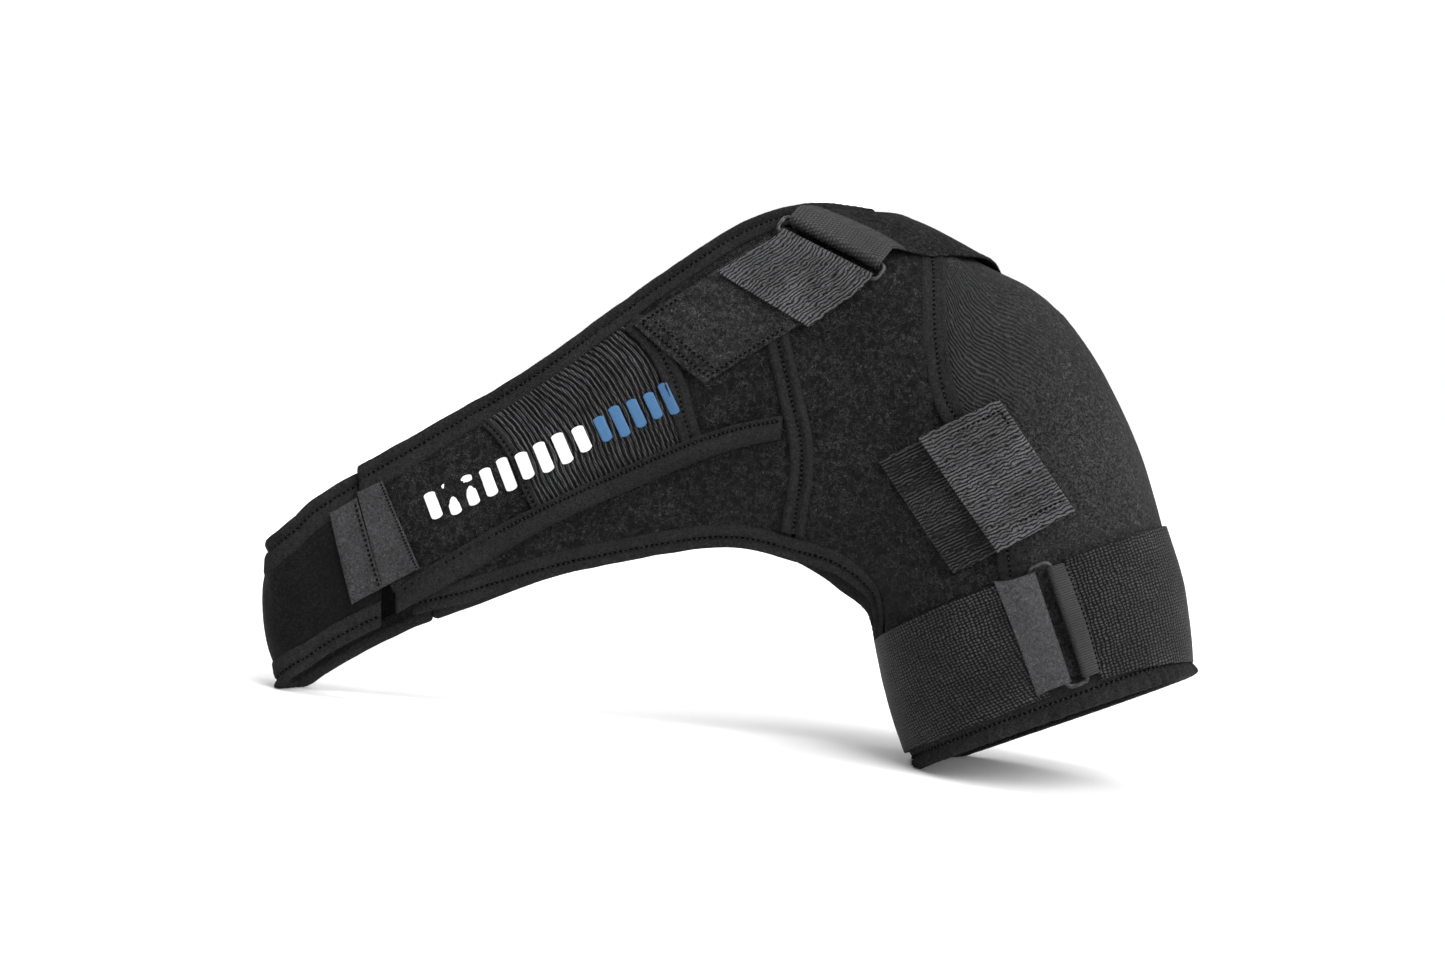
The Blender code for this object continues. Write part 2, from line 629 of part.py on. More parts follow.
def hinge_at_edge(corners, edge, height):
    """A straight axis along one edge of a patch, level with the highest place on that edge."""
    start, end = np.array(corners[edge[0]], float), np.array(corners[edge[1]], float)
    t = np.linspace(0, 1, 9)[:, None]
    spots = start + (end - start) * t
    k, a = drape(spots[:, 0], spots[:, 1])
    line = raised(k, a, k * 0 + height)
    axis = unit(line[-1] - line[0])
    out = form_normal(k, a).mean(0)
    out = unit(out - axis * np.dot(out, axis))
    rise = ((line - line[0]) @ out).max()
    return line[0] + out * rise, axis


SIDE_TAB_BASE = [(-188.2, 89.6), (-175.6, 98.3), (-158.5, 58.2), (-172.5, 47.5)]
SIDE_TAB_FLAP = [(-174.8, 100.8), (-162.8, 108.0), (-140.5, 70.5), (-157.7, 58.7)]
DELTOID_TAB_BASE = [(73.0, 150.5), (124.0, 184.0), (166.0, 136.0), (115.5, 101.5)]
DELTOID_TAB_FLAP = [(90.5, 164.0), (125.5, 186.0), (167.5, 137.5), (134.0, 114.8)]


def side_tab():
    rise = np.array([0.5, 0.9, 2.0, 3.3])[:, None]
    draped_sheet("side_tab_base", SIDE_TAB_BASE, np.linspace(0, 1, 4), 9, (rise, rise + 1.6), (FELT_GREY, 0.9))
    pivot, _ = hinge_at_edge(SIDE_TAB_FLAP, (0, 3), FLAP_LOW + 1.6)
    draped_sheet("side_tab_flap", SIDE_TAB_FLAP, np.linspace(0, 1, 4), 9, (FLAP_LOW, FLAP_LOW + 1.6),
                 (FELT_GREY, 0.9), pivot)


def deltoid_tab():
    draped_sheet("deltoid_tab_base", DELTOID_TAB_BASE, np.linspace(0, 1, 10), 10, STRAP_HEIGHTS,
                 (WEBBING_BLACK, 0.85))
    pivot, _ = hinge_at_edge(DELTOID_TAB_FLAP, (1, 2), 6.0)
    draped_sheet("deltoid_tab_flap", DELTOID_TAB_FLAP, np.linspace(0, 1, 8), 10, (4.4, 6.0),
                 (WEBBING_BLACK, 0.8), pivot)


def strap_lower_binding():
    u, v = grid(22, 3)
    k = u * 0 + 3
    for _ in range(6):
        a = lerp(ROLL_LOW(k), ROLL_HIGH(k), v)
        k = lerp(1.54, FRONT_SEAM(a) - 0.25, u)
    low = lerp(1.7, 0.45, ease((k - 2.2) / 0.6))
    sheet("strap_lower_binding", k, a, (low, low * 0 + 4.5), (BLACK, 0.9))


def insert_tapes():
    for name, ends, width in (("insert_tape_left", INSERT_LEFT, 4), ("insert_tape_right", INSERT_RIGHT, 10)):
        v = np.linspace(0.04, 0.94, 12)
        k = lerp(ends[0], ends[1], v)
        low = ROLL_HIGH(k) + 0.012
        high = angle_at(k, 1 - top_margin(k) - 0.008)
        top = strap_height(k) + 2.8
        seam_tape(name, k, lerp(low, high, v), width=width,
                  heights=((top + 0.35)[:, None], (top + 1.3)[:, None]))


def gel_pocket(name_pack, name_liner, side):
    """A gel pack against the inside of the shoulder panel, held by a bulging liner."""
    u, v = grid(13, 11)
    swell = (1 - (2 * u - 1) ** 4) * (1 - (2 * v - 1) ** 4)
    k, a = lerp(6.25, 9.9, u), lerp(np.radians(60), np.radians(132), v)
    low = -6.2 - 10.5 * swell
    sheet(name_liner, k, turned(a, side), (low, low + 1.2), (BLACK, 0.85))
    k, a = lerp(6.8, 9.45, u), lerp(np.radians(69), np.radians(123), v)
    share_u, share_v = (k - 6.25) / 3.65, (a - np.radians(60)) / np.radians(72)
    room = (1 - (2 * share_u - 1) ** 4) * (1 - (2 * share_v - 1) ** 4)
    floor = -6.2 - 10.5 * room + 1.7
    ceiling = np.full_like(floor, -7.9)
    sheet(name_pack, k, turned(a, side), (floor, ceiling), (GEL_BLUE, 0.3))


def main():
    clear_scene()
    side_wrap()
    chest_panel()
    front_strap()
    shoulder_panel("front_shoulder_panel", 1)
    shoulder_panel("back_shoulder_panel", -1)
    deltoid_panel()
    sleeve_panel()
    back_chest_panel()
    join = BACK_JOIN + seam_gap()
    edge_binding("side_top_binding", -BACK_JOIN, 1.12, True, 20, (SMOOTH_BLACK, 0.8))
    edge_binding("side_lower_binding", -BACK_JOIN, SIDE_CUT, False, 20, (SMOOTH_BLACK, 0.8))
    edge_binding("strap_top_binding", 1.16, 6.45, True, 26)
    edge_binding("front_lower_binding", CHEST_LEFT, 10.8, False, 36)
    edge_binding("back_top_binding", -6.45, -join, True, 22)
    edge_binding("back_lower_binding", -10.8, -join, False, 36)
    hem_binding()
    seam_tapes()
    strap_lower_binding()
    insert_tapes()
    side_tab()
    deltoid_tab()
    arm_strap()
    arm_closure(Ring(ARM_RING_ENDS, RING_HEIGHT, ARM_BAR_SPACING))
    top_ring = Ring(TOP_RING_ENDS, RING_HEIGHT, TOP_BAR_SPACING)
    top_closure(top_ring)
    shoulder_yoke(top_ring)
    gel_pocket("gel_pack_front", "gel_pocket_front", 1)
    gel_pocket("gel_pack_back", "gel_pocket_back", -1)


main()
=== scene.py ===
"""The looks of a cold compression shoulder wrap: loop fleece, smooth knit, rolled edges, stitches, webbing,
felt tabs, wire rings and gel packs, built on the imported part.

The wrap is one soft form, as in the part's own source. A place on it has a knot number, q or k, from the fold
at the left end of the chest band (0) to the hem of the sleeve (14), and a section angle a, from the inner
edge
(0) over the front to the outer edge (pi) and back behind (2 pi). A negative q is behind the fold, and k is
always positive.
Heights above the form are in millimetres, and every other length is in metres.
"""

import bpy
import numpy as np
from mathutils import Matrix, Vector, noise


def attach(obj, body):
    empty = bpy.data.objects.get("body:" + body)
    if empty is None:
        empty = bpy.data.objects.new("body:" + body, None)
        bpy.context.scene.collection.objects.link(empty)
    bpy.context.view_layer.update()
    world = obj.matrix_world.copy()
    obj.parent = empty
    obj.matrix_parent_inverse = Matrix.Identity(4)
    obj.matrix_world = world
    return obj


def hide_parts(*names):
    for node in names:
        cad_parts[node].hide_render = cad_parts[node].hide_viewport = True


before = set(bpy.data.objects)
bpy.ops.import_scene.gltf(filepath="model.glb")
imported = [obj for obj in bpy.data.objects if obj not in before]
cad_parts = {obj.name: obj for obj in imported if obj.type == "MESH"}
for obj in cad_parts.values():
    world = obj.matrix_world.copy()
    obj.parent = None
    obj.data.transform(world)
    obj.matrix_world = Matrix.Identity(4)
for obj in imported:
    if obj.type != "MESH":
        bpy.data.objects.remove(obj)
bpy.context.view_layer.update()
MM = 0.001

# ---------------------------------------------------------------- the form, as in the part

OUTER_EDGE = [(-213, 76), (-183, 102), (-136, 140), (-89, 178), (-40, 223), (4, 257), (42, 265), (80, 261),
              (118, 246), (154, 228), (193, 178), (216, 129), (228, 101), (236, 70), (239, 58)]
INNER_EDGE = [(-200, -1), (-172, 23), (-130, 45), (-84, 68), (-36, 86), (8, 97), (40, 93), (60, 87),
              (75, 77), (83, 68), (86, 61), (88, 55), (97, 30), (109, 5), (114, -2)]
HALF_DEPTH = [16, 19, 25, 32, 40, 47, 52, 55, 58, 59, 58, 56, 55, 54, 53]
FORWARD_TILT = [0.50, 0.46, 0.24, 0.11, 0.07, 0.06, 0.10, 0.17, 0.21, 0.21, 0.21, 0.21, 0.21, 0.21, 0.21]
BACKWARD_LEAN = 0.05
SECTION_POWER = 0.87
FOLD_END = 0.35
FOLD_BOW = 10 * MM
OPEN_EDGE_ANGLE = np.radians(34)
OPEN_TOP_ANGLE = np.radians(32)
NECK_CLOSES = (4.2, 6.6)
ARMPIT_CLOSES = (6.0, 10.6)
HEM_KNOT = 14.0
CENTRE = np.array([10.75, 4.54, 0]) * MM

PANEL = (-3.5, 0.0)
EDGE_WIDTH = 10.0
PANEL_GAP = 0.008
CLOTH_GRID = 2.2
EDGE_GRID = 0.9
TAPE_WIDTH = 11.0
WEBBING = 1.4
RING_HEIGHT = 4.7
WIRE_RADIUS = 1.1 * MM
LOOP_INSIDE = 1.4 * MM
LOOP_OUTSIDE = 2.5 * MM
WEBBING_THICKNESS = (LOOP_OUTSIDE - LOOP_INSIDE) / MM
TOP_RING_ENDS = [(6.58, np.radians(126.7)), (5.30, np.radians(145))]
ARM_RING_ENDS = [(12.79, np.radians(95.6)), (10.92, np.radians(92.4))]
TOP_BAR_SPACING = 9.5 * MM
ARM_BAR_SPACING = 10.5 * MM
STRAP_LOW = 1.9
FLAP_LOW = 3.75


class Guide:
    """A natural cubic curve through one value, or one point, for each knot."""

    def __init__(self, values, knots=None):
        self.y = np.array(values, float)
        self.x = np.arange(len(self.y), dtype=float) if knots is None else np.array(knots, float)
        count = len(self.y)
        matrix = np.eye(count)
        right = np.zeros_like(self.y)
        step = np.diff(self.x)
        for i in range(1, count - 1):
            matrix[i, i - 1:i + 2] = (step[i - 1], 2 * (step[i - 1] + step[i]), step[i])
            right[i] = 6 * ((self.y[i + 1] - self.y[i]) / step[i] - (self.y[i] - self.y[i - 1]) / step[i - 1])
        self.bend = np.linalg.solve(matrix, right)

    def __call__(self, x):
        x = np.asarray(x, float)
        i = np.clip(np.searchsorted(self.x, x, side="right") - 1, 0, len(self.x) - 2)
        step = self.x[i + 1] - self.x[i]
        far = (x - self.x[i]) / step
        if self.y.ndim > 1:
            far = far[..., None]
            step = step[..., None]
        near = 1 - far
        curve = (near ** 3 - near) * self.bend[i] + (far ** 3 - far) * self.bend[i + 1]
        return near * self.y[i] + far * self.y[i + 1] + curve * step ** 2 / 6


outer_edge = Guide(np.array(OUTER_EDGE) * MM)
inner_edge = Guide(np.array(INNER_EDGE) * MM)
half_depth = Guide(np.array(HALF_DEPTH) * MM)
forward_tilt = Guide(FORWARD_TILT)


def ease(x):
    x = np.clip(x, 0, 1)
    return x * x * (3 - 2 * x)


def lerp(a, b, t):
    return a + (b - a) * t


def signed_power(x, power):
    return np.sign(x) * np.abs(x) ** power


def unit(v):
    v = np.asarray(v, float)
    return v / np.linalg.norm(v, axis=-1, keepdims=True)


def first_angle(k):
    start, end = ARMPIT_CLOSES
    return OPEN_EDGE_ANGLE * (1 - ease((k - start) / (end - start)))


def last_angle(k):
    start, end = NECK_CLOSES
    return np.pi - OPEN_TOP_ANGLE * (1 - ease((k - start) / (end - start)))


def across(k, a):
    """Share of the way from the inner edge to the outer edge."""
    def share(angle):
        return (1 - signed_power(np.cos(angle), SECTION_POWER)) / 2
    low = share(first_angle(k))
    return (share(a) - low) / (share(last_angle(k)) - low)


def settle(k, share):
    """How far the cloth's edges sit from the guides once the wrap stands: metres up."""
    top = -3.4 * np.exp(-((k - 1.7) / 0.8) ** 2) - 5.5 * np.exp(-((k - 0.1) / 0.3) ** 2)
    low = 2.4 * np.exp(-((k - 1.7) / 0.5) ** 2) + 3.4 * np.exp(-((k - 8.6) / 0.9) ** 2)
    share = np.clip(share, 0, 1)
    return (top * share ** 3 + low * (1 - share) ** 3) * MM


def form(q, a):
    q, a = np.broadcast_arrays(np.asarray(q, float), np.asarray(a, float))
    turn = np.minimum(np.abs(q) / FOLD_END, 1) * np.pi / 2
    k = FOLD_END * (1 - np.cos(turn)) + np.maximum(np.abs(q) - FOLD_END, 0)
    k = np.minimum(k, HEM_KNOT)
    share = across(k, a)[..., None]
    flat = lerp(inner_edge(k), outer_edge(k), share)
    flat[..., 1] += settle(k, share[..., 0])
    x = flat[..., 0] - FOLD_BOW * np.sin(a) ** 2 * np.cos(turn)
    depth = -np.sign(q) * np.sin(turn) * half_depth(k) * signed_power(np.sin(a), SECTION_POWER)
    place = np.stack([x, depth + BACKWARD_LEAN * flat[..., 1], flat[..., 1] - forward_tilt(k) * depth], -1)
    return place - CENTRE


def form_normal(q, a):
    e = 1e-3
    along = form(q + e, a) - form(q - e, a)
    around = form(q, a + e) - form(q, a - e)
    return unit(np.cross(along, around))


def raised(q, a, height):
    """Places at a height in millimetres above the form, none of them below the ground."""
    place = form(q, a) + form_normal(q, a) * np.asarray(height)[..., None] * MM
    place[..., 2] = np.maximum(place[..., 2], 0)
    return place


def drape(x, z):
    """Knot numbers and angles of the front places seen straight on at x, z, in the guides' millimetres."""
    x, z = np.broadcast_arrays(np.asarray(x, float) * MM - CENTRE[0], np.asarray(z, float) * MM)
    grid_k, grid_a = np.meshgrid(np.linspace(0.3, 13.8, 136), np.radians(np.linspace(8, 172, 83)),
                                 indexing="ij")
    seen = form(grid_k, grid_a)[..., [0, 2]].reshape(-1, 2)
    wanted = np.stack([x.ravel(), z.ravel()], -1)
    nearest = np.concatenate([((part[:, None] - seen[None]) ** 2).sum(-1).argmin(1)
                              for part in np.array_split(wanted, max(1, len(wanted) // 500))])
    k = grid_k.ravel()[nearest]
    a = grid_a.ravel()[nearest]
    e = 1e-4
    for _ in range(12):
        here = form(k, a)[:, [0, 2]]
        by_k = (form(k + e, a)[:, [0, 2]] - here) / e
        by_a = (form(k, a + e)[:, [0, 2]] - here) / e
        miss = wanted - here
        det = by_k[:, 0] * by_a[:, 1] - by_k[:, 1] * by_a[:, 0]
        k = k + np.clip((miss[:, 0] * by_a[:, 1] - miss[:, 1] * by_a[:, 0]) / det, -0.2, 0.2)
        a = a + np.clip((by_k[:, 0] * miss[:, 1] - by_k[:, 1] * miss[:, 0]) / det, -0.1, 0.1)
    return k.reshape(x.shape), a.reshape(x.shape)


def edge_share(k, width, top):
    first, last = first_angle(k), last_angle(k)
    share = 0.08
    edge = last if top else first
    inside = lerp(last, first, share) if top else lerp(first, last, share)
    reach = np.linalg.norm(form(k, inside) - form(k, edge), axis=-1)
    return share * width * MM / reach


def lower_margin(k):
    return edge_share(k, EDGE_WIDTH, False) * (1 - ease((k - 10.4) / 0.6))


def top_margin(k):
    return edge_share(k, EDGE_WIDTH, True) * (1 - ease((k - 5.4) / 1.4))


def angle_at(k, share):
    return lerp(first_angle(k), last_angle(k), share)


def turned(angle, side):
    return angle if side > 0 else 2 * np.pi - angle


FRONT_SEAM = Guide([5.89, 5.88, 5.79, 5.52, 5.30, 5.22, 5.36], np.radians([34, 58, 80, 92, 105, 125, 152]))
DELTOID_SEAM = Guide(np.radians([180, 158, 143, 124, 108, 100, 93, 88.5, 84.5, 86, 88]),
                     [7.05, 7.14, 7.25, 7.42, 7.67, 7.90, 8.40, 9.60, 10.9, 12.4, 14.0])
ROLL_KNOTS = [1.5, 2.0, 3.0, 4.0, 5.0, 5.9]
ROLL_LOW = Guide(np.radians([42, 51, 65, 70, 75, 81]), ROLL_KNOTS)
ROLL_HIGH = Guide(np.radians([59, 69, 77, 79, 82, 87]), ROLL_KNOTS)
STRAP_LEFT = (1.52, 1.16)
INSERT_LEFT = (2.98, 2.33)
INSERT_RIGHT = (4.48, 3.68)
SIDE_CUT = 1.38
BACK_JOIN = 1.9
CHEST_LEFT = 1.72
SEAM = 1.2 / 42
SLEEVE_TOP = 11.1
PANELS_END = 12.96


def strap_height(k):
    return lerp(0.5, -2.9, ease((k - 1.6) / 1.2))


# ---------------------------------------------------------------- materials

def shader(name, colour, roughness, **sockets):
    made = bpy.data.materials.new(name)
    made.use_nodes = True
    bsdf = made.node_tree.nodes["Principled BSDF"]
    bsdf.inputs["Base Color"].default_value = (*colour, 1)
    bsdf.inputs["Roughness"].default_value = roughness
    for socket, value in sockets.items():
        bsdf.inputs[socket.replace("_", " ")].default_value = value
    return made, made.node_tree, bsdf


def add(tree, kind, **values):
    node = tree.nodes.new("ShaderNode" + kind)
    for key, value in values.items():
        if key in node.inputs:
            node.inputs[key].default_value = value
        else:
            setattr(node, key, value)
    return node


def noise_of(tree, vector, scale, detail=2.0, distortion=0.0, roughness=0.5):
    node = add(tree, "TexNoise", Scale=scale, Detail=detail, Distortion=distortion, Roughness=roughness)
    tree.links.new(vector, node.inputs["Vector"])
    return node.outputs["Fac"]


def ramp_of(tree, value, stops):
    node = add(tree, "ValToRGB")
    ramp = node.color_ramp
    while len(ramp.elements) < len(stops):
        ramp.elements.new(0.5)
    for element, (place, shade) in zip(ramp.elements, stops):
        element.position = place
        element.color = (*((shade,) * 3 if np.isscalar(shade) else shade), 1)
    tree.links.new(value, node.inputs["Fac"])
    return node.outputs["Color"]


def math_of(tree, operation, first, second=0.0):
    node = add(tree, "Math", operation=operation)
    for socket, value in zip(node.inputs, (first, second)):
        if isinstance(value, (int, float)):
            socket.default_value = value
        else:
            tree.links.new(value, socket)
    return node.outputs[0]


def times(tree, first, second):
    return math_of(tree, "MULTIPLY", first, second)


def plus(tree, first, second):
    return math_of(tree, "ADD", first, second)


def blend_of(tree, factor, first, second, kind="MIX"):
    node = add(tree, "Mix", data_type="RGBA", blend_type=kind)
    for socket, value in ((node.inputs["Factor"], factor), (node.inputs[6], first), (node.inputs[7], second)):
        if isinstance(value, (int, float)):
            socket.default_value = value
        elif isinstance(value, tuple):
            socket.default_value = (*value, 1)
        else:
            tree.links.new(value, socket)
    return node.outputs[2]


def bump_to(tree, bsdf, height, strength, distance):
    node = add(tree, "Bump", Strength=strength, Distance=distance)
    tree.links.new(height, node.inputs["Height"])
    tree.links.new(node.outputs["Normal"], bsdf.inputs["Normal"])


def object_place(tree):
    return add(tree, "TexCoord").outputs["Object"]


def cloth_place(tree):
    """Metres along and across a piece, from its UV map."""
    return add(tree, "TexCoord").outputs["UV"]


def strands_of(tree, place, size, width, curl=3.0):
    """Curly strands: broken ridge lines of a warped noise."""
    field = noise_of(tree, place, size, 1.0, curl, 0.5)
    ridge = math_of(tree, "ABSOLUTE", math_of(tree, "SUBTRACT", field, 0.5))
    line = ramp_of(tree, ridge, [(0.0, 1.0), (0.5 * width, 0.7), (width, 0.0)])
    breaks = ramp_of(tree, noise_of(tree, place, size * 0.8, 1.0, 0.5), [(0.42, 0.0), (0.58, 1.0)])
    return times(tree, line, breaks)


def fleece(name, dark, light, fibre=400, relief=0.7 * MM, specks=0.35, width=0.05, body_share=0.06):
    """Curly loops of two sizes, worn patches and a few pale specks: fibre ends and painted glints."""
    made, tree, bsdf = shader(name, dark, 0.9, Sheen_Weight=0.02, Sheen_Roughness=0.5,
                              Specular_IOR_Level=0.05)
    place = object_place(tree)
    large = strands_of(tree, place, fibre, width)
    small = strands_of(tree, place, fibre * 1.7, width * 1.2, 1.5)
    fine = noise_of(tree, place, fibre * 2.4, 2.0, 1.0)
    body = ramp_of(tree, fine, [(0.40, 0.0), (0.62, 1.0)])
    loops = plus(tree, large, times(tree, small, 0.45))
    shade = plus(tree, times(tree, loops, 0.9), times(tree, body, body_share))
    worn = ramp_of(tree, noise_of(tree, place, 34, 3.0, 0.4), [(0.35, 0.85), (0.65, 1.12)])
    colour = blend_of(tree, 1.0, blend_of(tree, shade, dark, light), worn, "MULTIPLY")
    # Pale specks: partly pale fibre ends, partly painted highlights that stand in for fibre glints.
    ends = add(tree, "TexVoronoi", Scale=fibre * 0.8)
    tree.links.new(place, ends.inputs["Vector"])
    sparse = ramp_of(tree, ends.outputs["Distance"], [(0.10, 1.0), (0.22, 0.0)])
    chosen = ramp_of(tree, noise_of(tree, place, fibre * 0.5, 1.0), [(0.56, 0.0), (0.66, 1.0)])
    ends_and_glints = times(tree, times(tree, sparse, chosen), specks)
    colour = blend_of(tree, ends_and_glints, colour, tuple(1.8 * c for c in light))
    tree.links.new(colour, bsdf.inputs["Base Color"])
    height = plus(tree, times(tree, loops, 0.9), times(tree, fine, 0.4))
    bump_to(tree, bsdf, height, 1.0, relief)
    return made


def smooth_knit(name, dark, light, curls=0.0, waves=None):
    """Fine brushed knit over foam, with lint. waves is (centre, reach, turn) of wavy wales, in UV metres."""
    made, tree, bsdf = shader(name, dark, 0.72, Sheen_Weight=0.02, Sheen_Roughness=0.4,
                              Specular_IOR_Level=0.07)
    place = object_place(tree)
    fine = noise_of(tree, place, 900, 2.0, 1.2, 0.6)
    soft = noise_of(tree, place, 300, 3.0, 1.5)
    wide = noise_of(tree, place, 22, 2.0)
    shade = times(tree, ramp_of(tree, fine, [(0.42, 0.0), (0.66, 0.8)]),
                    ramp_of(tree, wide, [(0.3, 0.45), (0.7, 1.0)]))
    height = plus(tree, times(tree, fine, 0.4), times(tree, soft, 0.5))
    if curls:
        strands = strands_of(tree, place, 330, 0.05, 2.0)
        shade = plus(tree, shade, times(tree, strands, curls))
        height = plus(tree, height, times(tree, strands, curls))
    if waves:
        centre, reach, turn = waves
        split = add(tree, "SeparateXYZ")
        tree.links.new(cloth_place(tree), split.inputs[0])
        run = math_of(tree, "SUBTRACT", times(tree, split.outputs["X"], float(np.cos(turn))),
                      times(tree, split.outputs["Y"], float(np.sin(turn))))
        bend = times(tree, noise_of(tree, cloth_place(tree), 85, 2.0, 0.4), 16.0)
        phase = plus(tree, times(tree, run, float(2 * np.pi / (2.3 * MM))), bend)
        wave = plus(tree, times(tree, math_of(tree, "SINE", phase), 0.5), 0.5)
        away = add(tree, "VectorMath", operation="DISTANCE")
        tree.links.new(cloth_place(tree), away.inputs[0])
        away.inputs[1].default_value = (*centre, 0)
        mask = ramp_of(tree, math_of(tree, "DIVIDE", away.outputs["Value"], reach), [(0.35, 1.0), (1.0, 0.0)])
        wales_and_crest_highlight = times(tree, math_of(tree, "POWER", wave, 1.6), mask)
        height = plus(tree, height, times(tree, wales_and_crest_highlight, 2.2))
        # Painted highlight on the wale crests and painted shade between them: the colour follows the wales'
        # height.
        shade = plus(tree, times(tree, wales_and_crest_highlight, 0.62),
                        times(tree, shade, math_of(tree, "SUBTRACT", 1.0,
                                                                 times(tree, mask, 0.6))))
    colour = blend_of(tree, shade, dark, light)
    lint = add(tree, "TexVoronoi", Scale=210)
    tree.links.new(place, lint.inputs["Vector"])
    near = ramp_of(tree, lint.outputs["Distance"], [(0.05, 1.0), (0.10, 0.0)])
    chosen = ramp_of(tree, noise_of(tree, place, 150, 1.0), [(0.60, 0.0), (0.66, 0.5)])
    colour = blend_of(tree, times(tree, near, chosen), colour, tuple(3.0 * c for c in light))
    tree.links.new(colour, bsdf.inputs["Base Color"])
    bump_to(tree, bsdf, height, 0.9, 0.5 * MM)
    return made


def webbing_weave(name, dark, light, along_mm, across_mm, wander=0.35, depth=0.4 * MM, valley_shade=0.25,
                  gloss=0.1):
    """Woven elastic: cells between two sets of fine grooves that wander a little, with lint and painted
    valley shade.
    A pitch of 0 leaves that set of grooves out."""
    made, tree, bsdf = shader(name, dark, 0.6, Sheen_Weight=0.02, Sheen_Roughness=0.5,
                              Specular_IOR_Level=gloss)
    place = cloth_place(tree)
    split = add(tree, "SeparateXYZ")
    tree.links.new(place, split.inputs[0])
    lint = noise_of(tree, object_place(tree), 900, 2.0, 1.5)
    cell = plus(tree, 0.9, times(tree, math_of(tree, "SUBTRACT", lint, 0.5), 1.1))
    for socket, pitch, seed_scale in (("X", along_mm, 170), ("Y", across_mm, 220)):
        if not pitch:
            continue
        drift = noise_of(tree, place, seed_scale, 2.0, 0.5)
        warped = plus(tree, split.outputs[socket], times(tree, drift, wander * pitch * MM * 5))
        phase = times(tree, warped, float(np.pi / (pitch * MM)))
        cord = math_of(tree, "ABSOLUTE", math_of(tree, "SINE", phase))
        cell = times(tree, cell, math_of(tree, "POWER", cord, 0.7))
    # Painted shade: the colour darkens where the relief (the rise attribute) is low, most in the valleys.
    rise = add(tree, "Attribute", attribute_name="rise")
    ridge = ramp_of(tree, plus(tree, times(tree, rise.outputs["Fac"], 1.8), 0.5),
                    [(0.2, valley_shade), (0.8, 1.0)])
    shade = ramp_of(tree, cell, [(0.38, 0.0), (0.95, 1.0)])
    patches = ramp_of(tree, noise_of(tree, object_place(tree), 45, 2.0), [(0.3, 0.7), (0.7, 1.25)])
    colour = blend_of(tree, 1.0, blend_of(tree, shade, dark, light), patches, "MULTIPLY")
    colour = blend_of(tree, 1.0, colour, ridge, "MULTIPLY")
    tree.links.new(colour, bsdf.inputs["Base Color"])
    bump_to(tree, bsdf, cell, 1.0, depth)
    return made


def wire_paint(name):
    made, tree, bsdf = shader(name, (0.02, 0.02, 0.021), 0.4, Metallic=0.2, Specular_IOR_Level=0.3)
    worn = noise_of(tree, object_place(tree), 380, 4.0, 0.3)
    shade = ramp_of(tree, worn, [(0.42, (0.006, 0.006, 0.0065)), (0.68, (0.05, 0.05, 0.052))])
    tree.links.new(shade, bsdf.inputs["Base Color"])
    bump_to(tree, bsdf, worn, 0.3, 0.1 * MM)
    return made


def gel_film(name):
    made, tree, bsdf = shader(name, (0.03, 0.16, 0.45), 0.28, Coat_Weight=0.4, Coat_Roughness=0.15)
    milky = noise_of(tree, object_place(tree), 60, 3.0, 0.5)
    shade = ramp_of(tree, milky, [(0.35, (0.02, 0.12, 0.38)), (0.7, (0.07, 0.26, 0.62))])
    tree.links.new(shade, bsdf.inputs["Base Color"])
    bump_to(tree, bsdf, noise_of(tree, object_place(tree), 900, 2.0), 0.2, 0.2 * MM)
    return made


def ink(name, colour):
    """A printed film: it shows the cloth's grain and is a little cracked."""
    made, tree, bsdf = shader(name, colour, 0.6, Specular_IOR_Level=0.3)
    grain = noise_of(tree, object_place(tree), 1800, 2.0, 0.5)
    dull = tuple(0.86 * c for c in colour)
    shade = blend_of(tree, ramp_of(tree, grain, [(0.35, 0.0), (0.6, 1.0)]), dull, colour)
    tree.links.new(shade, bsdf.inputs["Base Color"])
    bump_to(tree, bsdf, grain, 0.4, 0.15 * MM)
    return made


def thread_of(name, colour):
    made, tree, bsdf = shader(name, colour, 0.65, Specular_IOR_Level=0.06)
    twist = noise_of(tree, object_place(tree), 2600, 1.0)
    shade = blend_of(tree, twist, tuple(0.5 * c for c in colour), tuple(1.6 * c for c in colour))
    tree.links.new(shade, bsdf.inputs["Base Color"])
    return made


def grey(level):
    return (level, level, 1.04 * level)


